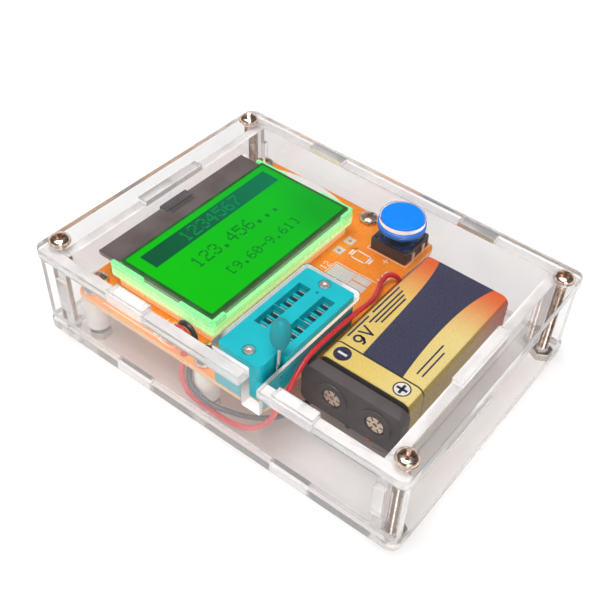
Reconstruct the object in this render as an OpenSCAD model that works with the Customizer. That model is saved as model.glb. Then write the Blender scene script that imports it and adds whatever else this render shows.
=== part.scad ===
// Bench component tester in a clear tab-and-slot case.
// X runs left to right, Y front to back, Z up. The origin is below the middle of
// the plates, level with the undersides of the nuts that the case stands on.

/* [Case sheets] */
// Width of the top and bottom plates (X)
plate_w = 85; // [76:0.5:95]
// Depth of the top and bottom plates (Y)
plate_d = 115.5; // [104:0.5:127]
// Thickness of every acrylic sheet
sheet_t = 3; // [2.5:0.1:3.5]
// Corner radius of both plates
plate_r = 2.5; // [2:0.5:5]
// Height of the four walls between the plates
wall_h = 22; // [20:0.1:26]
// From the plate's side edge to the outer face of a long wall
side_inset = 1; // [0.8:0.1:1]
// From the plate's end edge to the outer face of a short wall
end_inset = 5.5; // [5.4:0.1:6]
// From the plate's end edge to the end of a long wall
side_end_gap = 0.8; // [0.4:0.1:1.5]
// Length of one tab on a long wall
tab_len = 11.6; // [8:0.1:16]
// Distance of a long wall's tabs from the middle
tab_y = 26; // [24:0.5:30]
// Length of the tab on a short wall
end_tab_len = 22; // [12:1:30]
// Height of the tenon that joins a short wall to a long wall
tenon_h = 10.5; // [6:0.5:14]
// Play round a tab in its slot
tab_play = 0.08; // [0.05:0.01:0.15]

/* [Case screws] */
// Diameter of the screw threads
screw_d = 3; // [2.8:0.1:3]
// Clearance hole for a screw
screw_hole_d = 3.3; // [3.2:0.1:3.4]
// Diameter of a pan head
head_d = 5.8; // [5:0.1:6]
// Height of a pan head
head_h = 2; // [1.6:0.1:2.4]
// Width across the flats of a nut
nut_af = 5.5; // [5:0.1:6]
// Height of a nut
nut_h = 2.4; // [2:0.1:3]
// From the plate's side edge to a case screw
screw_side_inset = 5.7; // [5.7:0.1:6.5]
// From the plate's end edge to a case screw
screw_end_inset = 3.8; // [3.5:0.1:3.8]

/* [Circuit board] */
// Gap between the board and the left wall
board_left_gap = 1.7; // [1:0.1:2]
// Gap between the board and the right wall
board_right_gap = 1.3; // [1:0.1:2]
// Gap between the board and the rear wall
board_rear_gap = 0.65; // [0.4:0.05:1]
// Thickness of the circuit board
board_t = 1.6; // [1:0.1:2]
// Outer diameter of a nylon spacer
spacer_d = 6.4; // [5:0.1:6.4]
// From the board's side and rear edges to its screws
board_screw_inset = 3.2; // [3.2:0.1:3.6]
// From the board's front edge to its front screws
board_screw_front_in = 21.2; // [20:0.1:21.2]
// Length of a board screw under its head
board_screw_len = 17.8; // [17:0.1:17.8]

/* [Display] */
// From the board's left edge to the display glass
glass_left_in = 6.2; // [6:0.1:8]
// From the board's right edge to the display glass
glass_right_in = 11.8; // [11:0.1:14]
// From the board's front edge to the display glass
glass_front_in = 23; // [23:0.1:25]
// Depth of the bare ledge behind the upper glass
ledge_d = 8; // [7:0.5:9]
// Thickness of one sheet of glass
glass_t = 1.1; // [0.7:0.1:1.1]
// From the board's rear edge to the display glass
glass_rear_in = 1.4; // [1.2:0.1:1.6]
// Gap between the display and the top plate
glass_gap = 0.6; // [0.4:0.1:1.5]
// Height of the tray between the board and the light frame
tray_h = 3.7; // [3:0.1:3.7]
// Height of the light frame without its corner lugs
frame_h = 2.9; // [2.4:0.1:2.9]
// How far the light frame stands out past the glass
frame_rim = 1.2; // [1:0.1:1.3]
// Height of a corner lug above the light frame
lug_h = 1.7; // [1.2:0.1:1.8]

/* [Test socket] */
// Number of contacts in one row
row_pins = 7; // [5:1:7]
// Pitch of the contacts
pin_pitch = 2.54; // [2.54]
// Distance between the two contact rows
row_gap = 7.62; // [7.62]
// Length of the socket (X)
socket_w = 34.2; // [33.6:0.1:34.4]
// Depth of the socket (Y)
socket_d = 15.4; // [15.2:0.1:15.6]
// Height of the socket base
base_h = 6.2; // [6:0.1:6.4]
// Height of the socket cover
cover_h = 5.9; // [5.6:0.1:6]
// How far the socket stands out past the board's left edge
socket_overhang = 0.2; // [0:0.1:0.3]
// From the board's front edge to the socket
socket_front_in = 0.1; // [0:0.1:0.4]
// Diameter of the lever rod
rod_d = 1.1; // [0.9:0.1:1.2]
// Diameter of the lever's axle
axle_d = 1.3; // [1.1:0.1:1.4]
// Distance of the lever's pivot from the socket's left end
pivot_in = 5.2; // [5.1:0.1:5.3]
// Height of the lever's pivot above the board
pivot_h = 4.8; // [4.8:0.1:4.9]
// Distance from the pivot to the middle of the knob
lever_len = 14.5; // [14:0.1:15]
// Lean of the lever from upright, away from its opening
lever_lean = 4.5; // [3:0.5:6]
// Diameter of the lever's knob
knob_d = 5; // [4.6:0.1:5]
// Length of the lever's knob
knob_len = 8.8; // [8:0.1:9]

/* [Test button] */
// From the board's right edge to the middle of the button
button_right_in = 6.8; // [6.6:0.1:8]
// From the board's front edge to the middle of the button
button_front_in = 8.1; // [7.6:0.1:8.6]
// Width of the switch body
switch_w = 12; // [11.5:0.1:12]
// Height of the switch body
switch_h = 3.6; // [3.4:0.1:4]
// Diameter of the cap where it passes the top plate
cap_d = 12.2; // [11:0.1:12.4]
// Diameter of the cap's flange under the top plate
flange_d = 13.7; // [13.4:0.1:14]
// Height of the cap's top above the top plate
cap_proud = 0.3; // [0:0.1:3]
// Diameter of the button hole in the top plate
button_hole_d = 13; // [12.9:0.1:13.2]
// Travel of the button
button_travel = 0.35; // [0.25:0.05:0.4]

/* [Battery] */
// Length of the battery without its terminals (X)
battery_l = 46.5; // [46:0.1:47]
// Width of the battery (Y)
battery_w = 26.5; // [25.5:0.1:26.5]
// Height of the battery (Z)
battery_h = 17.5; // [16.5:0.1:17.5]
// Gap between the left wall and the battery
battery_left_gap = 17.8; // [17:0.1:19]
// Gap between the board's front edge and the battery
battery_rear_gap = 2.9; // [2.7:0.1:3.4]
// Gap between the battery and the front wall
battery_front_gap = 4.45; // [4.05:0.05:6]
// Spacing of the battery's terminals
terminal_gap = 12.95; // [12.95]
// Outer diameter of one battery lead
lead_d = 1.4; // [1.2:0.1:1.4]
// Width of the battery snap
snap_w = 29.7; // [28:0.1:29.7]
// Height of the battery snap
snap_h = 13.5; // [12.5:0.1:14]
// Thickness of the snap's vinyl cover
snap_t = 1.6; // [1.6:0.1:2.2]

/* [Hidden] */
$fn = 48;
eps = 0.01;

// Levels
plate_z = nut_h;
floor_z = plate_z + sheet_t;
roof_z = floor_z + wall_h;
deck_z = roof_z + sheet_t;
spacer_h = wall_h - glass_gap - 2 * glass_t - frame_h - tray_h - board_t;
board_z = floor_z + spacer_h;
board_top = board_z + board_t;
tray_top = board_top + tray_h;
frame_top = tray_top + frame_h;
lower_glass_top = frame_top + glass_t;
upper_glass_top = lower_glass_top + glass_t;

// Case
wall_x = plate_w / 2 - side_inset - sheet_t / 2;
wall_y = plate_d / 2 - end_inset - sheet_t / 2;
side_wall_len = plate_d - 2 * side_end_gap;
end_wall_len = 2 * wall_x - sheet_t;
inner_x = wall_x - sheet_t / 2;
inner_y = wall_y - sheet_t / 2;
case_screw_x = plate_w / 2 - screw_side_inset;
case_screw_y = plate_d / 2 - screw_end_inset;
shank_play = 0.02;
recess_w = 0.9;
recess_span = 3.4;

// Board
board_left = -inner_x + board_left_gap;
board_right = inner_x - board_right_gap;
board_rear = inner_y - board_rear_gap;
board_front = -inner_y + battery_front_gap + battery_w + battery_rear_gap;
board_w = board_right - board_left;
board_d = board_rear - board_front;
board_x = (board_left + board_right) / 2;
board_y = (board_front + board_rear) / 2;
board_r = 2.5;
board_screw_dx = board_w - 2 * board_screw_inset;
board_screw_rear = board_rear - board_screw_inset;
board_screw_front = board_front + board_screw_front_in;

// Display
glass_left = board_left + glass_left_in;
glass_right = board_right - glass_right_in;
glass_rear = board_rear - glass_rear_in;
glass_front = board_front + glass_front_in;
glass_w = glass_right - glass_left;
glass_d = glass_rear - glass_front;
glass_x = (glass_left + glass_right) / 2;
glass_y = (glass_rear + glass_front) / 2;
viewing_d = glass_d - ledge_d;
frame_wall = 1.6;
frame_rear_in = 5.2;
side_lug = 10.8;
side_lug_in = 0.6;
front_lug = 4;
frame_front = glass_front - frame_rim;
frame_rear = glass_rear - frame_rear_in;
frame_w = glass_w + 2 * frame_rim;
tray_w = glass_w;
tray_front = glass_front;
tray_rear = frame_rear - frame_rim;
polariser_t = 0.15;
polariser_margin = 1;
flex_w = 10;
flex_t = 0.25;
flex_left_in = 28;
flex_x = glass_left + flex_left_in;
driver_w = 15;
driver_d = 1.4;
driver_h = 0.5;
driver_rear_in = 2.3;

// Socket
socket_left = board_left - socket_overhang;
socket_front = board_front + socket_front_in;
socket_x = socket_left + socket_w / 2;
socket_y = socket_front + socket_d / 2;
socket_r = 0.8;
cover_z = board_top + base_h;
socket_top = cover_z + cover_h;
first_pin_x = socket_left + 12.6;
cut_gap = 1.1;
well_w = 3.8;
well_depth = 2;
contact_t = 0.4;
contact_w = 3;
contact_drop = 0.15;
pin_d = 0.6;
slot_w = 1.8;
slot_d = 3.5;
slot_right = 0.35;
pin_below = 2.2;
lever_y = socket_front + 1.45;
lever_slot_w = 1.7;
lever_slot_l = 6.8;
cheek_h = 9;
lever_corner_r = 1.8;
play = 0.3;
running_play = 0.05;
pivot_x = socket_left + pivot_in;
pivot_z = board_top + pivot_h;
bearing_t = 0.6;
cam_d = 3;
cam_w = 2;
cam_front = lever_y + lever_slot_w / 2 + bearing_t + 0.2;
slider_travel = 0.8;
lever_swing = 94;
cam_throw = slider_travel / 2 / sin(lever_swing / 2);
cam_x = -slider_travel / 2;
cam_z = -cam_throw * cos(lever_swing / 2);
slider_t = 1.6;
slider_z = cover_z - slider_t - 1;
spine_w = 3;
arm_w = 1;
arm_y = cam_front + cam_w + play;
jaw_t = 1.2;
jaw_left = pivot_x + cam_x - cam_d / 2 - play - jaw_t;
jaw_right = pivot_x + cam_x + cam_d / 2 + play;
tooth_w = 0.8;
tooth_gap = 0.27;
tooth_over = 1.2;
rivet_d = 3.2;
rivet_shank_d = 1.8;
rivet_y = socket_y + 0.4;
rivet_left = [socket_left + 2.9, rivet_y];
rivet_right = [socket_left + socket_w - 2.2, rivet_y];
notch_half = knob_d / 2 + 0.25;
notch_drop = 7.4;

// Button
button_x = board_right - button_right_in;
button_y = board_front + button_front_in;
cap_top = deck_z + cap_proud;
flange_h = 1.5;
flange_top = roof_z - 0.3;
core_d = 7.5;
plunger_w = 3.8;
switch_plate_t = 0.3;
plunger_d = 6.4;
plunger_top = flange_top - 1.2;
switch_top = board_top + switch_h + switch_plate_t;

// Battery
battery_lift = lead_d + 0.1;
battery_z = floor_z + battery_lift;
battery_mid = battery_z + battery_h / 2;
battery_left = -inner_x + battery_left_gap;
battery_rear = board_front - battery_rear_gap;
battery_y = battery_rear - battery_w / 2;
battery_r = 2.4;
sleeve_t = 0.35;
end_t = 1.2;
end_recess = 0.4;
cell_d = 8.1;
stud_d = 5.7;
socket_ring_d = 8.3;
ring_bore_d = 5.9;
terminal_h = 1.9;
snap_gap = 0.2;
snap_inner = battery_left - terminal_h - snap_gap;
snap_outer = snap_inner - snap_t;
snap_y = board_front - snap_gap - snap_w / 2;
snap_r = 2.5;
snap_wall = 1;
snap_rim_d = 9.4;
snap_rim_h = 0.4;
snap_rivet_d = 5;

// Route of the red lead, from the board to the battery snap
red_route = [
    [-34.4, 17.4, 18.9], [-34.5, 17, 20.4], [-34.7, 15.9, 21.45], [-34.8, 14.45, 21.85],
    [-34.9, 13, 21.45], [-35.1, 11.9, 20.4], [-35.2, 11.5, 18.9], [-35.3, 11.5, 17.2],
    [-36.2, 11.6, 14], [-37.1, 10.9, 10.6], [-37.6, 8.6, 7.8], [-37.7, 5.2, 6.5],
    [-37.7, 0, 6.3], [-37.7, -5, 6.6], [-37.7, -10, 8.3], [-37.5, -14, 11.4],
    [-36.2, -17, 15.4], [-33.2, -17.8, 19.4], [-29, -17.4, 22.4], [-24.5, -16.9, 24],
    [-19, -16.8, 24.6], [-11, -16.8, 24.4], [-3, -16.7, 23.6], [4, -16.2, 22],
    [9.5, -14.4, 20.6], [12.8, -13.2, 20.3], [15.6, -13.2, 20.6], [17.2, -14.4, 20.3],
    [17.9, -15.9, 19], [18, -16.8, 17], [18, -16.85, 14], [18, -16.85, 10.8],
    [17.5, -17.4, 8], [15.8, -19.6, 6.3], [13, -22.8, 6.15], [8, -27.4, 6.15],
    [1, -32, 6.15], [-6, -35.2, 6.15], [-12, -36.3, 6.15], [-17, -36.2, 6.15], [-20.85, -36, 6.15],
    [-21.9, -36, 6.36], [-22.8, -36, 6.96], [-23.4, -36, 7.85], [-23.6, -36, 8.89]
];
// Route of the black lead, from the board to the battery snap
black_route = [
    [-32.3, 17.2, 18.8], [-32.4, 16.8, 20.3], [-32.6, 15.7, 21.4], [-32.8, 14.15, 21.8],
    [-33, 12.6, 21.4], [-33.2, 11.5, 20.3], [-33.3, 11.1, 18.8], [-33.4, 11, 16.8],
    [-33.9, 10.7, 14.4], [-35.2, 10.2, 12.6], [-36.9, 8.6, 11], [-37.6, 6, 9.8],
    [-37.65, 3, 8.9], [-37.4, 0, 8.4], [-36.3, -3.6, 8.1], [-34, -8, 7.2],
    [-30.4, -12, 6.35], [-25.4, -15.4, 6.15], [-20, -18.4, 6.15], [-15.2, -21.4, 6.15],
    [-12.4, -24.4, 6.15], [-12.3, -27.4, 6.15], [-14.4, -29.4, 6.15], [-17.4, -30, 6.15],
    [-20.85, -29.8, 6.15], [-21.9, -29.8, 6.36], [-22.8, -29.8, 6.96], [-23.4, -29.8, 7.85],
    [-23.6, -29.8, 8.89]
];
// Where the leads pass down through the board
lead_holes = [[-35.25, 11.5], [-33.35, 11.05]];

// ---- Helpers ----

function unit(v) = v / norm(v);
function spline(a, b, c, d, t) =
    0.5 * (2 * b + (c - a) * t + (2 * a - 5 * b + 4 * c - d) * t * t
        + (3 * b - a - 3 * c + d) * t * t * t);
function at(pts, i) = pts[max(0, min(len(pts) - 1, i))];
function smooth(pts, steps) = concat(
    [for (i = [0 : len(pts) - 2], k = [0 : steps - 1])
        spline(at(pts, i - 1), pts[i], pts[i + 1], at(pts, i + 2), k / steps)],
    [pts[len(pts) - 1]]);
function tangent(pts, i) = unit(at(pts, i + 1) - at(pts, i - 1));
// Side vectors that turn with the route and never twist about it
function sides(pts, i, last) =
    let (t = tangent(pts, i), flat = last - t * (last * t), n = unit(flat))
    i == len(pts) - 1 ? [n] : concat([n], sides(pts, i + 1, n));
function ring(centre, t, n, r, count) =
    let (b = cross(t, n))
    [for (k = [0 : count - 1]) centre + r * (n * cos(360 * k / count) + b * sin(360 * k / count))];

module tube(route, d, steps = 2, count = 8) {
    path = smooth(route, steps);
    rings = len(path);
    normals = sides(path, 0, [1, 0, 0]);
    points = [for (i = [0 : rings - 1]) each ring(path[i], tangent(path, i), normals[i], d / 2, count)];
    skin = [for (i = [0 : rings - 2], k = [0 : count - 1])
        let (a = i * count + k, b = i * count + (k + 1) % count)
        [a, a + count, b + count, b]];
    start = [for (k = [0 : count - 1]) k];
    end = [for (k = [count - 1 : -1 : 0]) (rings - 1) * count + k];
    polyhedron(points, concat(skin, [start, end]), convexity = 10);
}

// Flat outline with round corners, centred on the origin
module round_rect(w, d, r) {
    square([w - 2 * r, d], center = true);
    square([w, d - 2 * r], center = true);
    for (x = [-1, 1], y = [-1, 1])
        translate([x * (w / 2 - r), y * (d / 2 - r)]) circle(r);
}

module slab(w, d, h, r) {
    linear_extrude(h) round_rect(w, d, r);
}

module at_corners(x, y) {
    for (i = [-1, 1], j = [-1, 1]) translate([i * x, j * y, 0]) children();
}

module at_board_screws() {
    for (i = [-1, 1], y = [board_screw_front, board_screw_rear])
        translate([board_x + i * board_screw_dx / 2, y, 0]) children();
}

// Pan head with a crossed recess, seated on z = 0
module pan_head() {
    edge = head_h * 0.35;
    difference() {
        union() {
            cylinder(d = head_d, h = edge);
            translate([0, 0, edge]) rotate_extrude()
                polygon([for (a = [0 : 10 : 90]) [head_d / 2 * cos(a), (head_h - edge) * sin(a)],
                    [0, 0]]);
        }
        for (turn = [0, 90]) rotate(turn) translate([-recess_span / 2, -recess_w / 2, head_h * 0.3])
            cube([recess_span, recess_w, head_h]);
    }
}

// Screw whose head sits on z = 0 and whose shank hangs below it
module screw(length) {
    pan_head();
    translate([0, 0, -length]) cylinder(d = screw_d - 2 * shank_play, h = length + eps);
}

module nut() {
    difference() {
        cylinder(d = nut_af / cos(30), h = nut_h, $fn = 6);
        translate([0, 0, -1]) cylinder(d = screw_d, h = nut_h + 2);
    }
}

// ---- Case ----

module long_tab_slots() {
    for (i = [-1, 1], j = [-1, 1])
        translate([i * wall_x, j * tab_y])
            square([sheet_t + 2 * tab_play, tab_len + 2 * tab_play], center = true);
}

module end_tab_slots() {
    for (j = [-1, 1])
        translate([0, j * wall_y])
            square([end_tab_len + 2 * tab_play, sheet_t + 2 * tab_play], center = true);
}

module plate_outline() {
    difference() {
        round_rect(plate_w, plate_d, plate_r);
        long_tab_slots();
        end_tab_slots();
        for (i = [-1, 1], j = [-1, 1])
            translate([i * case_screw_x, j * case_screw_y]) circle(d = screw_hole_d);
    }
}

module socket_cutout() {
    front = lever_y - notch_half;
    rear = socket_front + socket_d + cut_gap;
    left = -wall_x + sheet_t / 2;
    right = socket_left + socket_w + cut_gap;
    translate([(left + right) / 2, (front + rear) / 2]) round_rect(right - left, rear - front, 1.5);
    translate([-plate_w / 2 - 1, front]) square([plate_w / 2 + 1 + left + 2, 2 * notch_half]);
}

module top_plate() {
    color([0.93, 0.93, 0.95, 0.35]) translate([0, 0, roof_z]) linear_extrude(sheet_t)
        difference() {
            plate_outline();
            socket_cutout();
            translate([button_x, button_y]) circle(d = button_hole_d);
        }
}

module bottom_plate() {
    color([0.93, 0.93, 0.95, 0.35]) translate([0, 0, plate_z]) linear_extrude(sheet_t)
        difference() {
            plate_outline();
            at_board_screws() circle(d = screw_hole_d);
        }
}

// Long wall drawn in its own plane: x along the wall, y up
module long_wall_outline(notched) {
    difference() {
        union() {
            translate([-side_wall_len / 2, floor_z]) square([side_wall_len, wall_h]);
            for (j = [-1, 1])
                translate([j * tab_y - tab_len / 2, plate_z])
                    square([tab_len, deck_z - plate_z]);
        }
        for (j = [-1, 1])
            translate([j * wall_y, (floor_z + roof_z) / 2])
                square([sheet_t + 2 * tab_play, tenon_h + 2 * tab_play], center = true);
        if (notched)
            translate([lever_y - notch_half, roof_z - notch_drop])
                square([2 * notch_half, notch_drop + sheet_t + 1]);
    }
}

module long_wall(side, notched) {
    translate([side * wall_x - sheet_t / 2, 0, 0]) rotate([90, 0, 90])
        linear_extrude(sheet_t) long_wall_outline(notched);
}

module left_wall() {
    color([0.95, 0.95, 0.97, 0.35]) long_wall(-1, true);
}

module right_wall() {
    color([0.95, 0.95, 0.97, 0.35]) long_wall(1, false);
}

module end_wall(side) {
    translate([0, side * wall_y + sheet_t / 2, 0]) rotate([90, 0, 0]) linear_extrude(sheet_t) {
        translate([-end_wall_len / 2, floor_z]) square([end_wall_len, wall_h]);
        translate([-end_tab_len / 2, plate_z]) square([end_tab_len, deck_z - plate_z]);
        translate([-wall_x - sheet_t / 2, (floor_z + roof_z - tenon_h) / 2])
            square([2 * wall_x + sheet_t, tenon_h]);
    }
}

module front_wall() {
    color([0.95, 0.95, 0.97, 0.35]) end_wall(-1);
}

module rear_wall() {
    color([0.95, 0.95, 0.97, 0.35]) end_wall(1);
}

module case_screws() {
    color([0.78, 0.74, 0.70]) at_corners(case_screw_x, case_screw_y)
        translate([0, 0, deck_z]) screw(deck_z - 0.2);
}

module case_nuts() {
    color([0.75, 0.72, 0.70]) at_corners(case_screw_x, case_screw_y) nut();
}

// ---- Circuit board ----

function pin_x(i) = first_pin_x + i * pin_pitch;

module at_socket_pins() {
    for (i = [0 : row_pins - 1], j = [-1, 1])
        translate([pin_x(i), socket_y + j * row_gap / 2, 0]) children();
}

module at_switch_pins() {
    for (i = [-1, 1], j = [-1, 1])
        translate([button_x + j * 2.5, button_y + i * (switch_w / 2 + 0.25), 0]) children();
}

module at_lead_holes() {
    for (hole = lead_holes) translate([hole[0], hole[1], 0]) children();
}

// Offsets of the two spare pads from the button
spare_pads = [[7.5, 11.8], [12.6, 11.8]];

module at_spare_pads() {
    for (p = spare_pads) translate([button_x - p[0], button_y + p[1], 0]) children();
}

module circuit_board() {
    color([0.93, 0.48, 0.10]) translate([board_x, board_y, board_z]) difference() {
        slab(board_w, board_d, board_t, board_r);
        translate([-board_x, -board_y, -1]) {
            at_board_screws() cylinder(d = screw_hole_d, h = board_t + 2);
            at_socket_pins() cylinder(d = 1, h = board_t + 2);
            at_switch_pins() cylinder(d = 1.2, h = board_t + 2);
            at_lead_holes() cylinder(d = lead_d + 0.6, h = board_t + 2);
            at_spare_pads() cylinder(d = spare_hole_d, h = board_t + 2);
        }
    }
}

module board_spacers() {
    color([0.93, 0.91, 0.88]) translate([0, 0, floor_z]) at_board_screws() difference() {
        cylinder(d = spacer_d, h = spacer_h);
        translate([0, 0, -1]) cylinder(d = screw_hole_d, h = spacer_h + 2);
    }
}

module board_screws() {
    color([0.78, 0.74, 0.70]) translate([0, 0, board_top]) at_board_screws()
        screw(board_screw_len);
}

module board_nuts() {
    color([0.75, 0.72, 0.70]) at_board_screws() nut();
}

// Cone of solder under the board round a pin, open where the pin passes
module solder_cone(pin_d) {
    translate([0, 0, board_z - 1.1]) difference() {
        cylinder(d1 = pin_d + 0.4, d2 = 2, h = 1.1);
        translate([0, 0, -1]) cylinder(d = pin_d, h = 3);
    }
}

module solder_joints() {
    color([0.80, 0.80, 0.82]) {
        at_socket_pins() solder_cone(pin_d);
        at_switch_pins() solder_cone(0.9);
        for (route = [red_route, black_route])
            translate([route[0][0], route[0][1] + 1.3, board_top]) cylinder(d1 = 2.2, d2 = 1.2, h = 0.9);
    }
}

// Bare tinned areas on top of the board: each is [x, y, width, depth] from the
// socket's right end and the board's front edge
pads = [[7.8, 5, 5.2, 5], [7.8, 10.2, 7.9, 6.9], [13.4, 5.2, 2.5, 4.8]];
pad_t = 0.08;
spare_pad_w = 2.8;
spare_hole_d = 1;

module test_pads() {
    color([0.80, 0.80, 0.80]) translate([0, 0, board_top]) {
        for (p = pads)
            translate([socket_left + socket_w + p[0], board_front + p[1], 0]) cube([p[2], p[3], pad_t]);
        at_spare_pads() difference() {
            translate([0, 0, pad_t / 2]) cube([spare_pad_w, spare_pad_w, pad_t], center = true);
            translate([0, 0, -1]) cylinder(d = spare_hole_d, h = 2);
        }
    }
}

// Blank paper label on the board beside the display, with a bowed outer edge
label_gap = 1.6;
label_edge_gap = 0.1;
label_front_in = 8.8;
label_d = 25;
label_r = 38;

module board_label() {
    left = glass_right + frame_rim + label_gap;
    right = board_right - label_edge_gap;
    front = glass_front + label_front_in;
    color([0.95, 0.95, 0.94]) translate([0, 0, board_top]) linear_extrude(0.1) intersection() {
        translate([left, front]) square([right - left, label_d]);
        translate([right - label_r, front + label_d / 2]) circle(label_r);
    }
}

// ---- Display ----

module frame_outline(inset) {
    translate([glass_x, (frame_front + frame_rear) / 2])
        round_rect(frame_w - 2 * inset, frame_rear - frame_front - 2 * inset, 1);
}

module display_tray() {
    mid = (tray_front + tray_rear) / 2;
    color([0.88, 0.92, 0.80]) translate([glass_x, mid, board_top]) difference() {
        slab(tray_w, tray_rear - tray_front, tray_h, 1);
        translate([0, 0, -1]) slab(tray_w - 3.2, tray_rear - tray_front - 3.2, tray_h + 2, 1);
    }
}

// Corner lug of the light frame beside the glass
module frame_lug(x, y, w, d) {
    translate([x, y, frame_top - eps]) cube([w, d, lug_h + eps]);
}

module display_frame() {
    play = 0.1;
    lug_t = frame_rim - play;
    left = glass_x - glass_w / 2 - frame_rim;
    right = glass_x + glass_w / 2 + play;
    color([0.30, 0.95, 0.50]) {
        translate([0, 0, tray_top]) linear_extrude(frame_h) difference() {
            frame_outline(0);
            frame_outline(frame_wall);
        }
        for (x = [left, right]) {
            frame_lug(x, frame_front + side_lug_in, lug_t, side_lug);
            frame_lug(x, frame_rear - side_lug_in - side_lug, lug_t, side_lug);
        }
        for (x = [left + 1, right + lug_t - 1 - front_lug])
            frame_lug(x, frame_front, front_lug, lug_t);
    }
}

module light_guide() {
    color([0.20, 1.0, 0.30]) translate([0, 0, tray_top + 0.2]) linear_extrude(frame_h - 0.3)
        frame_outline(frame_wall + 0.1);
}

module lower_glass() {
    color([0.45, 0.42, 0.42]) translate([glass_x, glass_y, frame_top])
        slab(glass_w, glass_d, glass_t, 0.3);
}

module upper_glass() {
    color([0.05, 0.75, 0.10]) translate([glass_x, glass_front + viewing_d / 2, lower_glass_top])
        slab(glass_w, viewing_d, glass_t, 0.3);
}

module display_polariser() {
    color([0.05, 0.80, 0.12])
        translate([glass_x, glass_front + viewing_d / 2, upper_glass_top])
            slab(glass_w - 2 * polariser_margin, viewing_d - 2 * polariser_margin, polariser_t, 0.5);
}

// Driver chip, bonded under the ledge behind the frame
module display_driver() {
    color([0.15, 0.14, 0.15])
        translate([flex_x - driver_w / 2, glass_rear - driver_rear_in, frame_top - driver_h])
            cube([driver_w, driver_d, driver_h]);
}

// Flex strip from the glass ledge, round the rear edge and down to the board
module display_flex() {
    reach = 2.2;
    drop = glass_rear + 0.7;
    top = lower_glass_top + flex_t;
    foot = board_top + flex_t;
    color([0.25, 0.22, 0.22]) translate([flex_x, 0, 0]) rotate([90, 0, 90])
        translate([0, 0, -flex_w / 2]) linear_extrude(flex_w) {
            translate([glass_rear - reach, lower_glass_top]) square([drop - glass_rear + reach, flex_t]);
            translate([drop - flex_t, board_top]) square([flex_t, top - board_top]);
            translate([drop - reach, board_top]) square([reach, foot - board_top]);
        }
}

// ---- Test socket ----

module socket_block(h) {
    slab(socket_w, socket_d, h, socket_r);
}

// Room for the lever at the left end, inside the front cheek
module lever_slot(z, h) {
    translate([socket_left - 1, lever_y - lever_slot_w / 2, z])
        cube([lever_slot_l + 1, lever_slot_w, h]);
}

// Rounds the corner behind the lever
module lever_corner(z, h) {
    r = lever_corner_r;
    translate([socket_left, lever_y + lever_slot_w / 2, z]) linear_extrude(h) difference() {
        translate([-1, -1]) square(r + 1);
        translate([r, r]) circle(r);
    }
}

// Chamber open to the cover, from z up
module chamber(x1, x2, y1, y2, z) {
    translate([x1, y1, z]) cube([x2 - x1, y2 - y1, base_h]);
}

module socket_base() {
    slot_floor = board_top + 1.2;
    slider_floor = slider_z - play;
    cam_room = cam_d / 2 + cam_throw + play;
    teeth_half = row_gap / 2 + tooth_over + play;
    color([0.0, 0.62, 0.70]) difference() {
        translate([socket_x, socket_y, board_top]) socket_block(base_h);
        lever_slot(slot_floor, base_h);
        lever_corner(slot_floor, base_h);
        chamber(pivot_x - cam_room, pivot_x + cam_room, cam_front - 0.2, arm_y, pivot_z - cam_room);
        chamber(jaw_left - play, jaw_right + jaw_t + slider_travel + play, cam_front - 0.2,
            arm_y + arm_w + play, slider_floor);
        chamber(pivot_x - play, first_pin_x, socket_y - spine_w / 2 - play, socket_y + spine_w / 2 + play,
            slider_floor);
        chamber(first_pin_x - 2.6, pin_x(row_pins - 1) + 2.6, socket_y - teeth_half,
            socket_y + teeth_half, slider_floor);
        // Bearing of the axle
        translate([pivot_x, socket_front - 1, pivot_z]) rotate([-90, 0, 0])
            cylinder(d = axle_d + 2 * running_play, h = cam_front - socket_front + 1);
        at_socket_pins() translate([-contact_t / 2 - 0.1, -contact_w / 2 - 0.1, board_top - 1])
            cube([contact_t + 0.2, contact_w + 0.2, base_h + 2]);
        for (p = [rivet_left, rivet_right])
            translate([p[0], p[1], board_top - 1]) cylinder(d = rivet_shank_d + 0.1, h = base_h + 2);
    }
}

module socket_cover() {
    wells = [[0, 2], [3, row_pins - 1]];
    color([0.0, 0.74, 0.82]) difference() {
        translate([socket_x, socket_y, cover_z]) socket_block(cover_h);
        // Corner cut away round the lever
        lever_slot(cover_z - 1, cover_h + 2);
        lever_corner(cover_z - 1, cover_h + 2);
        translate([socket_left - 1, socket_front - 1, board_top + cheek_h])
            cube([lever_slot_l + 1, lever_y - socket_front + 1, cover_h + 2]);
        for (j = [-1, 1], w = wells)
            translate([pin_x(w[0]) - 1.75, socket_y + j * row_gap / 2 - well_w / 2, socket_top - well_depth])
                cube([(w[1] - w[0]) * pin_pitch + 2.35, well_w, well_depth + 1]);
        at_socket_pins() translate([slot_right - slot_w, -slot_d / 2, cover_z - 1])
            cube([slot_w, slot_d, cover_h + 2]);
        for (p = [rivet_left, rivet_right])
            translate([p[0], p[1], cover_z - 1]) {
                cylinder(d = rivet_shank_d + 0.1, h = cover_h + 2);
                translate([0, 0, 1 + cover_h - 0.5]) cylinder(d = rivet_d + 0.3, h = 2);
            }
        // Sight hole over the slider
        translate([pin_x(row_pins - 1) + 0.6, socket_y, cover_z - 1]) cylinder(d = 0.8, h = cover_h + 2);
    }
}

module socket_rivets() {
    color([0.78, 0.74, 0.70]) for (p = [rivet_left, rivet_right])
        translate([p[0], p[1], 0]) difference() {
            union() {
                translate([0, 0, board_top + 0.3])
                    cylinder(d = rivet_shank_d, h = socket_top - 0.5 - board_top - 0.3);
                translate([0, 0, socket_top - 0.5]) cylinder(d1 = rivet_d, d2 = rivet_d - 0.5, h = 0.55);
            }
            translate([0, 0, socket_top - 0.35]) cylinder(d = 1.5, h = 1);
        }
}

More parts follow.
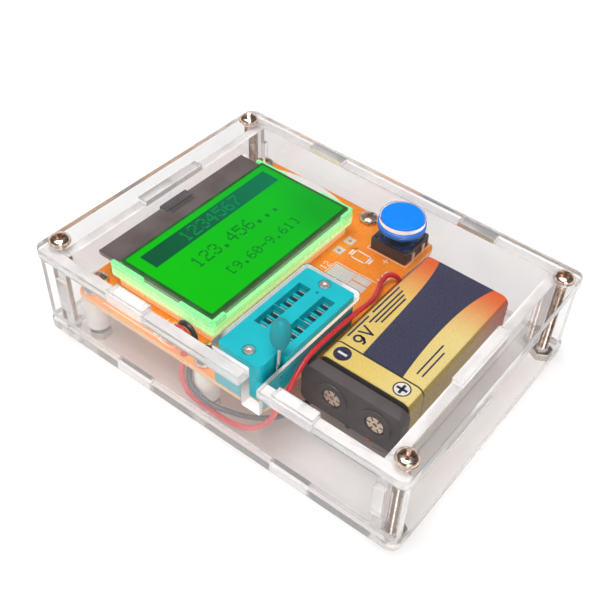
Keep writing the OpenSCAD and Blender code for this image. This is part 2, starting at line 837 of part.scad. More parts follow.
module socket_contacts() {
    leaf_z = board_top + 0.2;
    leaf_top = socket_top - well_depth - contact_drop;
    color([0.86, 0.84, 0.80]) at_socket_pins() {
        translate([-contact_t / 2, -contact_w / 2, leaf_z]) cube([contact_t, contact_w, leaf_top - leaf_z]);
        translate([0, 0, board_z - pin_below]) cylinder(d = pin_d, h = leaf_z + 0.1 - board_z + pin_below);
    }
}

// Comb that closes the contacts, pushed along X by the lever's cam
module socket_slider() {
    spine_left = pivot_x;
    spine_right = pin_x(row_pins - 1);
    teeth_half = row_gap / 2 + tooth_over;
    jaw_len = arm_y + arm_w - cam_front;
    color([0.0, 0.55, 0.62]) translate([0, 0, slider_z]) linear_extrude(slider_t) {
        translate([spine_left, socket_y - spine_w / 2]) square([spine_right - spine_left, spine_w]);
        translate([jaw_left, arm_y]) square([jaw_right + jaw_t - jaw_left, arm_w]);
        for (x = [jaw_left, jaw_right]) translate([x, cam_front]) square([jaw_t, jaw_len]);
        for (i = [0 : row_pins - 1])
            translate([pin_x(i) - contact_t / 2 - tooth_gap - slider_travel - tooth_w, socket_y - teeth_half])
                square([tooth_w, 2 * teeth_half]);
    }
}

module along_lever() {
    translate([pivot_x, lever_y, pivot_z]) rotate([0, lever_lean, 0]) children();
}

module lever_rod() {
    axle_start = socket_front + 0.1;
    color([0.76, 0.72, 0.68]) {
        along_lever() cylinder(d = rod_d, h = lever_len - knob_len / 2 + 2);
        translate([pivot_x, axle_start, pivot_z]) rotate([-90, 0, 0])
            cylinder(d = axle_d, h = cam_front + cam_w - axle_start);
    }
}

// Eccentric disc on the end of the axle
module lever_cam() {
    color([0.60, 0.60, 0.62]) translate([pivot_x, cam_front, pivot_z]) difference() {
        translate([cam_x, 0, cam_z]) rotate([-90, 0, 0]) cylinder(d = cam_d, h = cam_w);
        translate([0, -1, 0]) rotate([-90, 0, 0]) cylinder(d = axle_d, h = cam_w + 2);
    }
}

module lever_knob() {
    color([0.0, 0.55, 0.60]) along_lever() translate([0, 0, lever_len]) difference() {
        rotate_extrude() polygon([for (a = [-90 : 10 : 90])
            [knob_d / 2 * pow(cos(a), 0.8), knob_len / 2 * sin(a)]]);
        translate([0, 0, -knob_len / 2 - 1]) cylinder(d = rod_d, h = 3);
    }
}

// ---- Test button ----

module switch_body() {
    color([0.30, 0.27, 0.28]) translate([button_x, button_y, board_top]) difference() {
        slab(switch_w, switch_w, switch_h, 0.6);
        translate([0, 0, 1.2]) cylinder(d = plunger_d + 0.6, h = switch_h);
        for (i = [-1, 1], j = [-1, 1]) translate([i * 4.5, j * 4.5, switch_h - 0.4])
            cylinder(d = 1.4, h = 1);
    }
}

module switch_plate() {
    color([0.72, 0.72, 0.74]) translate([button_x, button_y, board_top + switch_h]) difference() {
        slab(switch_w - 1.6, switch_w - 1.6, switch_plate_t, 1.5);
        translate([0, 0, -1]) cylinder(d = plunger_d + 0.6, h = 3);
    }
}

blade_w = 1.2;
blade_t = 0.4;
blade_h = 2.6;
blade_tail = 0.7;

module switch_terminals() {
    color([0.85, 0.85, 0.86]) at_switch_pins() {
        translate([-blade_w / 2, -blade_t / 2, board_top]) cube([blade_w, blade_t, blade_h]);
        translate([-blade_tail / 2, -blade_t / 2, board_z - pin_below])
            cube([blade_tail, blade_t, pin_below + board_t + eps]);
    }
}

module switch_dome() {
    color([0.80, 0.78, 0.70]) translate([button_x, button_y, board_top + 1.2]) rotate_extrude()
        polygon([for (r = [0 : 0.7 : 2.8]) [r, 0.7 - 0.06 * r * r],
            [2.8, 0], [2.4, 0], for (r = [2.1 : -0.7 : 0]) [r, 0.5 - 0.06 * r * r]]);
}

module switch_plunger() {
    stem_z = board_top + 1.2 + 0.7 + button_travel + 0.3;
    color([0.12, 0.12, 0.13]) translate([button_x, button_y, 0]) {
        translate([0, 0, stem_z]) cylinder(d = plunger_d, h = switch_top + 0.8 - stem_z);
        translate([-plunger_w / 2, -plunger_w / 2, stem_z])
            cube([plunger_w, plunger_w, plunger_top - stem_z]);
    }
}

module button_cap() {
    flange_z = flange_top - flange_h;
    cap_z = switch_top + button_travel + 0.6;
    edge = 0.4;
    color([0.0, 0.50, 0.95]) translate([button_x, button_y, 0]) difference() {
        union() {
            translate([0, 0, cap_z]) cylinder(d = core_d, h = flange_top - cap_z);
            translate([0, 0, flange_z]) cylinder(d = flange_d, h = flange_h);
            translate([0, 0, flange_z]) cylinder(d = cap_d, h = cap_top - edge - flange_z);
            translate([0, 0, cap_top - edge]) cylinder(d1 = cap_d, d2 = cap_d - 2 * edge, h = edge);
        }
        translate([-plunger_w / 2, -plunger_w / 2, cap_z - 1])
            cube([plunger_w, plunger_w, plunger_top - cap_z + 1]);
    }
}

// ---- Battery ----

module along_battery(x) {
    translate([x, battery_y, battery_mid]) rotate([90, 0, 90]) children();
}

module battery_case() {
    color([0.90, 0.68, 0.22]) along_battery(battery_left) difference() {
        slab(battery_w, battery_h, battery_l, battery_r);
        translate([0, 0, -1])
            slab(battery_w - 2 * sleeve_t, battery_h - 2 * sleeve_t, battery_l + 2, battery_r - sleeve_t);
    }
}

module end_disc(x) {
    along_battery(x) slab(battery_w - 2 * sleeve_t - 0.1, battery_h - 2 * sleeve_t - 0.1, end_t,
        battery_r - sleeve_t);
}

module battery_top() {
    color([0.12, 0.12, 0.12]) end_disc(battery_left + end_recess);
}

module battery_bottom() {
    color([0.65, 0.50, 0.20]) end_disc(battery_left + battery_l - end_recess - end_t);
}

module battery_cells() {
    length = battery_l - 2 * end_recess - 2 * end_t - 0.4;
    color([0.70, 0.70, 0.72]) along_battery(battery_left + end_recess + end_t + 0.2)
        for (i = [-1 : 1], j = [-1, 1])
            translate([i * (cell_d + 0.3), j * (cell_d / 2 + 0.1), 0]) cylinder(d = cell_d, h = length);
}

module positive_terminal() {
    color([0.82, 0.82, 0.84]) along_battery(battery_left - terminal_h)
        translate([-terminal_gap / 2, 0, 0]) cylinder(d = stud_d, h = terminal_h + end_recess);
}

module negative_terminal() {
    color([0.82, 0.82, 0.84]) along_battery(battery_left - terminal_h)
        translate([terminal_gap / 2, 0, 0]) difference() {
            cylinder(d = socket_ring_d, h = terminal_h + end_recess);
            translate([0, 0, -1]) cylinder(d = ring_bore_d, h = terminal_h + 1);
        }
}

// Moulded cover: a plate with a wall round it that reaches back to the battery
module snap_cover() {
    color([0.35, 0.31, 0.32]) difference() {
        union() {
            translate([snap_outer, snap_y, battery_mid]) rotate([90, 0, 90]) difference() {
                slab(snap_w, snap_h, snap_t + terminal_h, snap_r);
                translate([0, 0, snap_t])
                    slab(snap_w - 2 * snap_wall, snap_h - 2 * snap_wall, terminal_h + 1, snap_r - snap_wall);
            }
            along_battery(snap_outer - snap_rim_h) for (i = [-1, 1])
                translate([i * terminal_gap / 2, 0, 0]) cylinder(d = snap_rim_d, h = snap_rim_h + 1);
        }
        along_battery(snap_outer - snap_rim_h - 1) for (i = [-1, 1])
            translate([i * terminal_gap / 2, 0, 0]) {
                cylinder(d = snap_rivet_d + 0.8, h = 1.8);
                cylinder(d = 2.1, h = snap_t + 3);
            }
    }
}

module snap_contacts() {
    color([0.82, 0.82, 0.84]) {
        // Ring that takes the battery's stud
        along_battery(snap_inner) translate([-terminal_gap / 2, 0, 0]) difference() {
            cylinder(d = socket_ring_d, h = terminal_h);
            translate([0, 0, snap_gap - 0.1]) cylinder(d = ring_bore_d, h = terminal_h);
            translate([0, 0, -1]) cylinder(d = 2.1, h = 3);
        }
        // Stud that enters the battery's ring
        along_battery(snap_inner) translate([terminal_gap / 2, 0, 0]) difference() {
            cylinder(d = stud_d, h = terminal_h);
            translate([0, 0, -1]) cylinder(d = 2.1, h = 3 + terminal_h);
        }
    }
}

// Rivet with its end split into petals
module snap_rivets() {
    petals = 6;
    face = snap_outer + 0.4;
    color([0.80, 0.72, 0.64]) along_battery(face - 0.45) for (i = [-1, 1])
        translate([i * terminal_gap / 2, 0, 0]) difference() {
            union() {
                cylinder(d = snap_rivet_d, h = 0.4);
                cylinder(d = 2, h = snap_t);
            }
            translate([0, 0, -1]) cylinder(d = 1.3, h = 2.5);
            for (k = [0 : petals - 1]) rotate(k * 360 / petals)
                translate([1.3, -0.2, -1]) cube([3, 0.4, 1.8]);
        }
}

module red_lead() {
    color([0.85, 0.10, 0.16]) tube(red_route, lead_d);
}

module black_lead() {
    color([0.10, 0.10, 0.12]) tube(black_route, lead_d);
}

// ---- Electronics under the display ----

mcu_w = 7;
mcu_h = 1;
mcu_in = 22.6;
mcu_leads = 8;
mcu_lead_pitch = 0.8;
mcu_lead_w = 0.3;
crystal_l = 11;
crystal_w = 4.6;
crystal_h = 3.4;
crystal_in = [17.8, 13.2];
regulator_w = 4.5;
regulator_d = 2.5;
regulator_in = [7.4, 10.4];
transistor_in = [10.6, 8.4];
transistor_gap = 5;
chip_w = 1.25;
chip_d = 2;
resistor_in = [28.6, 7.4];
resistor_gap = 2.4;
capacitor_in = [17.8, 7.2];
capacitor_gap = 2.8;
tray_mid = (tray_front + tray_rear) / 2;

module at_mcu() {
    translate([glass_left + mcu_in, tray_mid, board_top]) children();
}

module microcontroller() {
    color([0.10, 0.10, 0.11]) at_mcu() translate([0, 0, 0.1]) slab(mcu_w, mcu_w, mcu_h, 0.2);
}

module microcontroller_leads() {
    last = (mcu_leads - 1) / 2;
    color([0.80, 0.80, 0.82]) at_mcu()
        for (side = [0 : 90 : 270], k = [-last : last]) rotate(side)
            translate([mcu_w / 2, k * mcu_lead_pitch - mcu_lead_w / 2, 0]) {
                translate([0, 0, 0.3]) cube([0.5, mcu_lead_w, 0.2]);
                translate([0.35, 0, 0]) cube([0.7, mcu_lead_w, 0.3 + eps]);
            }
}

module crystal() {
    base_h = 0.6;
    rim = 0.4;
    color([0.80, 0.80, 0.82])
        translate([glass_right - crystal_in[0], tray_rear - crystal_in[1], board_top]) {
            slab(crystal_l, crystal_w, base_h, crystal_w / 2 - 0.1);
            slab(crystal_l - 2 * rim, crystal_w - 2 * rim, crystal_h, crystal_w / 2 - rim - 0.1);
        }
}

module voltage_regulator() {
    lead_pitch = 1.5;
    translate([glass_right - regulator_in[0], tray_front + regulator_in[1], board_top]) {
        color([0.13, 0.13, 0.14]) translate([0, 0, 0.1]) slab(regulator_w, regulator_d, lead_pitch, 0.2);
        color([0.80, 0.80, 0.82]) for (i = [-1 : 1])
            translate([i * lead_pitch - 0.2, -regulator_d / 2 - 0.95, 0]) cube([0.4, 1.2, 0.3]);
    }
}

module transistors() {
    color([0.14, 0.14, 0.15]) for (i = [0 : 2])
        translate([glass_left + transistor_in[0], tray_front + transistor_in[1] + transistor_gap * i,
            board_top])
            slab(2.9, 1.3, 1, 0.1);
}

module resistors() {
    color([0.20, 0.18, 0.17]) for (i = [0 : 5])
        translate([glass_left + resistor_in[0] + resistor_gap * i, tray_front + resistor_in[1], board_top])
            slab(chip_w, chip_d, 0.5, 0.1);
}

module capacitors() {
    color([0.70, 0.60, 0.45]) for (i = [0 : 3])
        translate([glass_right - capacitor_in[0] + capacitor_gap * i, tray_rear - capacitor_in[1], board_top])
            slab(chip_w, chip_d, 0.9, 0.1);
}

top_plate();
bottom_plate();
left_wall();
right_wall();
front_wall();
rear_wall();
case_screws();
case_nuts();
circuit_board();
board_spacers();
board_screws();
board_nuts();
solder_joints();
test_pads();
board_label();
display_tray();
display_frame();
light_guide();
lower_glass();
upper_glass();
display_polariser();
display_driver();
display_flex();
socket_base();
socket_cover();
socket_rivets();
socket_contacts();
socket_slider();
lever_rod();
lever_cam();
lever_knob();
switch_body();
switch_plate();
switch_terminals();
switch_dome();
switch_plunger();
button_cap();
battery_case();
battery_cells();
battery_top();
battery_bottom();
positive_terminal();
negative_terminal();
snap_cover();
snap_contacts();
snap_rivets();
red_lead();
black_lead();
microcontroller();
microcontroller_leads();
crystal();
voltage_regulator();
transistors();
resistors();
capacitors();
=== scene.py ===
"""Component tester in a clear tab-and-slot case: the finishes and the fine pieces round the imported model.

The object's sizes are in millimetres and are multiplied by MM where Blender takes metres. Its places come
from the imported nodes' boxes. The floor and the lamps are in metres.
"""
import math

import bmesh
import bpy
from mathutils import Matrix, Vector


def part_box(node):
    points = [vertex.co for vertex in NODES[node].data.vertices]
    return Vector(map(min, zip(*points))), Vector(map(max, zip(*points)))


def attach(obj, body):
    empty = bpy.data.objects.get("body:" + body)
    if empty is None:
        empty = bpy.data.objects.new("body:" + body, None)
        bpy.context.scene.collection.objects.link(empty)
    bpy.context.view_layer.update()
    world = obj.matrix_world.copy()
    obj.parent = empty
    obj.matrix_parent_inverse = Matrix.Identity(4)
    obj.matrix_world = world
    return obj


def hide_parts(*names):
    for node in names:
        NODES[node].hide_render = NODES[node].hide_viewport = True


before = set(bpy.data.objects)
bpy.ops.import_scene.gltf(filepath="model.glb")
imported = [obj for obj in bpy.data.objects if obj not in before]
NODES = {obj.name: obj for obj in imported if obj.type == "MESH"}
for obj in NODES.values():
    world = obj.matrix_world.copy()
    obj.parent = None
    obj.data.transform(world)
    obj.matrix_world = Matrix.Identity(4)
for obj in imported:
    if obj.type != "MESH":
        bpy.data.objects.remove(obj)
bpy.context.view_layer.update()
MM = 0.001


def span(node):
    """A node's lowest and highest corner, in millimetres."""
    low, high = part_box(node)
    return low / MM, high / MM


# ---- Camera ----

CAMERA_NEAR = 0.01
CAMERA_AT = Vector((-143.98, -104.63, 191.72)) * MM
CAMERA_RIGHT = Vector((0.58485, -0.80767, 0.07500))
CAMERA_UP = Vector((0.54934, 0.46242, 0.69599))
CAMERA_BACK = Vector((-0.59681, -0.36585, 0.71412))
FRAME_PX = 600
FOCAL_PX = 925
CENTRE_PX = (362.2, 319.5)
SENSOR = 36


def make_camera():
    data = bpy.data.cameras.new("camera")
    camera = bpy.data.objects.new("camera", data)
    bpy.context.scene.collection.objects.link(camera)
    turn = Matrix((CAMERA_RIGHT, CAMERA_UP, CAMERA_BACK)).transposed()
    camera.matrix_world = Matrix.Translation(CAMERA_AT) @ turn.to_4x4()
    data.sensor_width = SENSOR
    data.lens = SENSOR * FOCAL_PX / FRAME_PX
    data.shift_x = (FRAME_PX / 2 - CENTRE_PX[0]) / FRAME_PX
    data.shift_y = (CENTRE_PX[1] - FRAME_PX / 2) / FRAME_PX
    data.clip_start = CAMERA_NEAR
    bpy.context.scene.camera = camera


make_camera()


# ---- Leads ----

LEAD_D = 1.4
LEAD_FACETS = 5
ROUTE_STEPS = 10
RED_ROUTE = [
    (-34.4, 17.4, 18.9), (-34.5, 17, 20.4), (-34.7, 15.9, 21.45), (-34.8, 14.45, 21.85),
    (-34.9, 13, 21.45), (-35.1, 11.9, 20.4), (-35.2, 11.5, 18.9), (-35.3, 11.5, 17.2),
    (-36.2, 11.6, 14), (-37.1, 10.9, 10.6), (-37.6, 8.6, 7.8), (-37.7, 5.2, 6.5),
    (-37.7, 0, 6.3), (-37.7, -5, 6.6), (-37.7, -10, 8.3), (-37.5, -14, 11.4),
    (-36.2, -17, 15.4), (-33.2, -17.8, 19.4), (-29, -17.4, 22.4), (-24.5, -16.9, 24),
    (-19, -16.8, 24.6), (-11, -16.8, 24.4), (-3, -16.7, 23.6), (4, -16.2, 22),
    (9.5, -14.4, 20.6), (12.8, -13.2, 20.3), (15.6, -13.2, 20.6), (17.2, -14.4, 20.3),
    (17.9, -15.9, 19), (18, -16.8, 17), (18, -16.85, 14), (18, -16.85, 10.8),
    (17.5, -17.4, 8), (15.8, -19.6, 6.3), (13, -22.8, 6.15), (8, -27.4, 6.15),
    (1, -32, 6.15), (-6, -35.2, 6.15), (-12, -36.3, 6.15), (-17, -36.2, 6.15),
    (-20.85, -36, 6.15), (-21.9, -36, 6.36), (-22.8, -36, 6.96), (-23.4, -36, 7.85),
    (-23.6, -36, 8.89),
]
BLACK_ROUTE = [
    (-32.3, 17.2, 18.8), (-32.4, 16.8, 20.3), (-32.6, 15.7, 21.4), (-32.8, 14.15, 21.8),
    (-33, 12.6, 21.4), (-33.2, 11.5, 20.3), (-33.3, 11.1, 18.8), (-33.4, 11, 16.8),
    (-33.9, 10.7, 14.4), (-35.2, 10.2, 12.6), (-36.9, 8.6, 11), (-37.6, 6, 9.8),
    (-37.65, 3, 8.9), (-37.4, 0, 8.4), (-36.3, -3.6, 8.1), (-34, -8, 7.2),
    (-30.4, -12, 6.35), (-25.4, -15.4, 6.15), (-20, -18.4, 6.15), (-15.2, -21.4, 6.15),
    (-12.4, -24.4, 6.15), (-12.3, -27.4, 6.15), (-14.4, -29.4, 6.15), (-17.4, -30, 6.15),
    (-20.85, -29.8, 6.15), (-21.9, -29.8, 6.36), (-22.8, -29.8, 6.96), (-23.4, -29.8, 7.85),
    (-23.6, -29.8, 8.89),
]


def smooth_path(points, steps):
    """A curve through every point, sampled steps times between each two."""
    points = [Vector(p) for p in points]
    last = len(points) - 1
    path = []
    for i in range(last):
        a, b, c, d = (points[min(max(k, 0), last)] for k in (i - 1, i, i + 1, i + 2))
        for k in range(steps):
            t = k / steps
            path.append(0.5 * (2 * b + (c - a) * t + (2 * a - 5 * b + 4 * c - d) * t * t
                               + (3 * b - a - 3 * c + d) * t ** 3))
    return path + [points[-1]]


def make_lead(name, route):
    """A round tube along the route, as a mesh so that its box is its own."""
    path = smooth_path(route, ROUTE_STEPS)
    curve = bpy.data.curves.new(name, "CURVE")
    curve.dimensions = "3D"
    curve.bevel_depth = LEAD_D / 2 * MM
    curve.bevel_resolution = LEAD_FACETS
    curve.use_fill_caps = True
    spline = curve.splines.new("POLY")
    spline.points.add(len(path) - 1)
    for point, place in zip(spline.points, path):
        point.co = (*(place * MM), 1)
    line = bpy.data.objects.new(name + "_line", curve)
    bpy.context.scene.collection.objects.link(line)
    bpy.context.view_layer.update()
    tube = bpy.data.meshes.new_from_object(line.evaluated_get(bpy.context.evaluated_depsgraph_get()))
    bpy.data.objects.remove(line)
    lead = bpy.data.objects.new(name, tube)
    bpy.context.scene.collection.objects.link(lead)
    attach(lead, "case")
    return lead


red_lead = make_lead("red_lead_insulation", RED_ROUTE)
black_lead = make_lead("black_lead_insulation", BLACK_ROUTE)
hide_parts("red_lead")
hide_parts("black_lead")


# ---- Materials ----

class Surface:
    """A material, its node tree and its Principled shader. Textures run in object space, in millimetres."""

    def __init__(self, name, base, rough=0.4, metal=0.0, **sockets):
        self.material = bpy.data.materials.new(name)
        self.material.use_nodes = True
        self.tree = self.material.node_tree
        self.shader = self.tree.nodes["Principled BSDF"]
        self.put("Base Color", (*base, 1))
        self.put("Roughness", rough)
        self.put("Metallic", metal)
        for socket, value in sockets.items():
            self.put(socket.replace("_", " "), value)
        coordinates = self.tree.nodes.new("ShaderNodeTexCoord")
        scaled = self.tree.nodes.new("ShaderNodeMapping")
        scaled.inputs["Scale"].default_value = (1 / MM,) * 3
        self.tree.links.new(coordinates.outputs["Object"], scaled.inputs["Vector"])
        self.place = scaled.outputs["Vector"]

    def put(self, socket, value):
        """Sets a shader socket to a constant, or links it to a node's output."""
        self.feed(self.shader.inputs[socket], value)

    def feed(self, target, value):
        if isinstance(value, bpy.types.NodeSocket):
            self.tree.links.new(value, target)
        else:
            target.default_value = value

    def node(self, kind, output=0, inputs=(), **settings):
        made = self.tree.nodes.new(kind)
        for key, value in settings.items():
            setattr(made, key, value)
        for key, value in dict(inputs).items():
            self.feed(made.inputs[key], value)
        return made.outputs[output]

    def noise(self, size, detail=3, stretch=(1, 1, 1)):
        """Cloudy noise from 0 to 1 whose blots are about size millimetres across."""
        place = self.node("ShaderNodeMapping", inputs={"Vector": self.place, "Scale": stretch})
        return self.node("ShaderNodeTexNoise", "Fac", inputs={
            "Vector": place, "Scale": 1 / size, "Detail": detail})

    def mottle(self, size, low=0, high=1, **settings):
        """Noise whose middle is spread over the whole of low..high."""
        return self.ramp(self.noise(size, **settings), low, high, 0.3, 0.7)

    def ramp(self, value, low, high, start=0.0, end=1.0):
        """Maps value from start..end to low..high, with soft ends."""
        return self.node("ShaderNodeMapRange", inputs={
            "Value": value, "From Min": start, "From Max": end, "To Min": low, "To Max": high},
            interpolation_type="SMOOTHSTEP")

    def line(self, value, start, end):
        """Maps value from start..end to 0..1 in a straight line."""
        return self.node("ShaderNodeMapRange", inputs={"Value": value, "From Min": start, "From Max": end})

    def maths(self, operation, a, b=0.0):
        return self.node("ShaderNodeMath", inputs={0: a, 1: b}, operation=operation)

    def blend(self, share, a, b):
        """Colour a where share is 0 and b where it is 1."""
        made = self.tree.nodes.new("ShaderNodeMix")
        made.data_type = "RGBA"
        self.feed(made.inputs["Factor"], share)
        for socket, value in ((made.inputs[6], a), (made.inputs[7], b)):
            self.feed(socket, value if isinstance(value, bpy.types.NodeSocket) else (*value, 1))
        return made.outputs[2]

    def axis(self, name):
        made = self.tree.nodes.new("ShaderNodeSeparateXYZ")
        self.tree.links.new(self.place, made.inputs[0])
        return made.outputs[name]

    def facing(self, name):
        """How far the surface faces along an axis, from 0 to 1."""
        coordinates = self.tree.nodes.new("ShaderNodeTexCoord")
        made = self.tree.nodes.new("ShaderNodeSeparateXYZ")
        self.tree.links.new(coordinates.outputs["Normal"], made.inputs[0])
        return self.maths("ABSOLUTE", made.outputs[name])

    def let_light_through(self, tint):
        """Lets lamps and diffuse light pass straight through clear plastic."""
        path = self.tree.nodes.new("ShaderNodeLightPath")
        share = self.maths("MAXIMUM", path.outputs["Is Shadow Ray"], path.outputs["Is Diffuse Ray"])
        clear = self.node("ShaderNodeBsdfTransparent", inputs={"Color": (*tint, 1)})
        mix = self.tree.nodes.new("ShaderNodeMixShader")
        self.feed(mix.inputs[0], share)
        self.feed(mix.inputs[1], self.shader.outputs[0])
        self.feed(mix.inputs[2], clear)
        self.feed(self.tree.nodes["Material Output"].inputs["Surface"], mix.outputs[0])

    def bump(self, height, depth):
        """Raises the surface by height (0 to 1) times depth millimetres."""
        self.put("Normal", self.node("ShaderNodeBump", inputs={
            "Height": height, "Distance": depth * MM, "Strength": 1.0}))


def grained(name, base, rough, metal=0.0, tone=0.12, blot=4.0, grain=0.25, depth=0.01, **sockets):
    """A moulded, plated or painted finish: cloudy tone, uneven gloss and a fine grain."""
    s = Surface(name, base, rough, metal, **sockets)
    cloud = s.noise(blot)
    dark = tuple(c * (1 - tone) for c in base)
    light = tuple(min(1.0, c * (1 + tone)) for c in base)
    s.put("Base Color", s.blend(s.ramp(cloud, 0, 1, 0.3, 0.7), dark, light))
    fine = s.noise(grain, detail=2)
    s.put("Roughness", s.ramp(fine, rough * 0.8, min(1.0, rough * 1.2), 0.3, 0.7))
    if depth:
        s.bump(fine, depth)
    return s


RIM_REACH = 9
# Strengths of the painted glow on the cut edges, round the outline and at the openings.
RIM_GLOW = 0.06
OPENING_GLOW = 0.5
EDGE_GLOSS = 0.25
EDGE_CLEARNESS = 0.75
SMUDGE_GLOSS = 0.012


def edge_glow(s):
    """How brightly a cut edge glows with painted light: more at the openings than round the outline."""
    high = span("top_plate")[1]
    past_x = s.maths("SUBTRACT", s.maths("ABSOLUTE", s.axis("X")), high.x - RIM_REACH)
    past_y = s.maths("SUBTRACT", s.maths("ABSOLUTE", s.axis("Y")), high.y - RIM_REACH)
    return s.ramp(s.maths("MAXIMUM", past_x, past_y), OPENING_GLOW, RIM_GLOW, -1.5, 1.5)


def acrylic(name, thickness_axis):
    """Clear sheet with laser-cut edges: polished faces, whitish ribbed edges that also glow with painted
    light, and a grey line of painted shade along each arris.
    """
    s = Surface(name, (1, 1, 1), 0.02, IOR=1.49, Transmission_Weight=1.0)
    facing = s.facing(thickness_axis)
    edge = s.ramp(facing, 1, 0, 0.3, 0.6)
    # The arris line's grey is painted shade along the corner between face and edge.
    painted_arris_shade = s.ramp(s.maths("ABSOLUTE", s.maths("SUBTRACT", facing, 0.65)), 1, 0, 0.1, 0.32)
    ribs = s.noise(0.5, detail=1, stretch=(1, 1, 0.12) if thickness_axis == "Z" else (1, 1, 1))
    smudge = s.ramp(s.noise(14, detail=4), 0, 1, 0.45, 0.8)
    cloud = s.ramp(s.noise(22, detail=1), 0, 1, 0.35, 0.65)
    drift = s.ramp(s.noise(9, detail=2), 0, 1, 0.35, 0.65)
    face = s.blend(cloud, (0.91, 0.895, 0.895), (0.94, 0.93, 0.93))
    hazy = s.blend(s.ramp(ribs, 0, 1, 0.35, 0.65), (0.84, 0.83, 0.83), (0.92, 0.91, 0.91))
    cut = s.blend(drift, hazy, (0.97, 0.965, 0.96))
    s.put("Base Color", s.blend(painted_arris_shade, s.blend(edge, face, cut), (0.60, 0.585, 0.58)))
    s.put("Roughness", s.maths("ADD", s.maths("MULTIPLY", edge, EDGE_GLOSS),
                               s.maths("MULTIPLY", smudge, SMUDGE_GLOSS)))
    s.put("Transmission Weight", s.ramp(edge, 1.0, EDGE_CLEARNESS))
    # The emission on the cut edges is painted glow.
    s.put("Emission Color", s.blend(s.ramp(ribs, 0, 1, 0.3, 0.7), (0.90, 0.88, 0.88), (1, 1, 1)))
    s.put("Emission Strength", s.maths("MULTIPLY", s.maths("SUBTRACT", edge, painted_arris_shade), edge_glow(s)))
    s.bump(s.maths("MULTIPLY", ribs, edge), 0.02)
    s.let_light_through((0.94, 0.93, 0.925))
    return s


def solder_mask():
    """Orange circuit board: glossy mask with the copper showing faintly through it, tan cut edges, and a
    faint orange painted glow.
    """
    # The faint orange emission is painted glow: the board is no lamp.
    s = Surface("solder_mask", (0.93, 0.30, 0.02), 0.32, Coat_Weight=0.25, Coat_Roughness=0.2,
                Emission_Color=(1.0, 0.30, 0.0, 1), Emission_Strength=0.07)
    copper = s.node("ShaderNodeTexBrick", "Fac", inputs={
        "Vector": s.place, "Scale": 0.22, "Mortar Size": 0.035, "Brick Width": 0.9, "Row Height": 0.31,
        "Mortar Smooth": 0.2})
    cloud = s.mottle(9)
    face = s.blend(cloud, (0.96, 0.235, 0.010), (1.0, 0.31, 0.018))
    traced = s.blend(s.maths("MULTIPLY", copper, 0.25), face, (0.92, 0.20, 0.008))
    fibre = s.blend(s.mottle(0.4, stretch=(1, 1, 6)), (0.85, 0.45, 0.16), (0.93, 0.62, 0.30))
    edge = s.ramp(s.facing("Z"), 1, 0, 0.4, 0.8)
    s.put("Base Color", s.blend(edge, traced, fibre))
    s.put("Roughness", s.mottle(1.2, 0.26, 0.4))
    s.bump(copper, 0.03)
    return s


def lit_face():
    """Liquid crystal face lit from behind: bright green, deeper towards the right."""
    s = Surface("lit_face", (0.0, 0.03, 0.0), 0.12, Emission_Strength=1.0, Specular_IOR_Level=0.1)
    low, high = span("display_polariser")
    across = s.ramp(s.axis("X"), 0, 1, low.x, high.x)
    along = s.ramp(s.axis("Y"), 0, 1, low.y, high.y)
    glow = s.blend(across, (0.0, 0.63, 0.001), (0.0, 0.57, 0.018))
    corner = s.ramp(s.maths("SUBTRACT", across, s.maths("MULTIPLY", along, 0.2)), 0, 0.5, 0.75, 1.0)
    shaded = s.blend(corner, glow, (0.0, 0.29, 0.02))
    cloud = s.mottle(11, 0, 0.1)
    s.put("Emission Color", s.blend(cloud, shaded, (0.0, 0.66, 0.0)))
    s.put("Roughness", s.mottle(3, 0.08, 0.16))
    return s


PATCH_HALF_W = 4.5
PATCH_FRONT = 43.3
PATCH_BLUR = 0.3


def ledge_glass():
    """Bare end of the lower glass: brown-grey, with pale cut edges and a darker patch round the flex."""
    s = Surface("display_glass", (0.16, 0.13, 0.13), 0.1, Coat_Weight=0.6, Coat_Roughness=0.05)
    low, high = span("display_flex")
    middle = (low.x + high.x) / 2
    off_middle = s.maths("ABSOLUTE", s.maths("SUBTRACT", s.axis("X"), middle))
    across = s.ramp(off_middle, 1, 0, PATCH_HALF_W - PATCH_BLUR, PATCH_HALF_W + PATCH_BLUR)
    deep = s.ramp(s.axis("Y"), 0, 1, PATCH_FRONT - PATCH_BLUR, PATCH_FRONT + PATCH_BLUR)
    tone = s.blend(s.mottle(9), (0.145, 0.112, 0.112), (0.20, 0.165, 0.165))
    patch = s.maths("MULTIPLY", s.maths("MULTIPLY", across, deep), 0.7)
    patched = s.blend(patch, tone, (0.085, 0.078, 0.082))
    edge = s.ramp(s.facing("Z"), 1, 0, 0.3, 0.8)
    s.put("Base Color", s.blend(edge, patched, (0.36, 0.34, 0.33)))
    s.put("Roughness", s.mottle(4, 0.08, 0.16))
    return s


def rim_glass():
    """The upper glass where it isn't lit: dark green, with a painted highlight on the cut edge at the rear.
    """
    s = Surface("glass_rim", (0.03, 0.14, 0.04), 0.15)
    rear_y = span("upper_glass")[1].y
    tone = s.blend(s.mottle(5), (0.02, 0.10, 0.025), (0.03, 0.17, 0.04))
    edge = s.ramp(s.facing("Z"), 1, 0, 0.3, 0.8)
    rear = s.ramp(s.axis("Y"), 0, 1, rear_y - 1.5, rear_y - 0.1)
    # The pale colour near the rear is a painted highlight on that cut edge.
    pale = s.blend(rear, (0.10, 0.12, 0.07), (0.36, 0.44, 0.33))
    s.put("Base Color", s.blend(edge, tone, pale))
    s.put("Roughness", s.mottle(4, 0.1, 0.2))
    return s


BAND_RATE = 4.2  # radians of the bands' wave in a millimetre


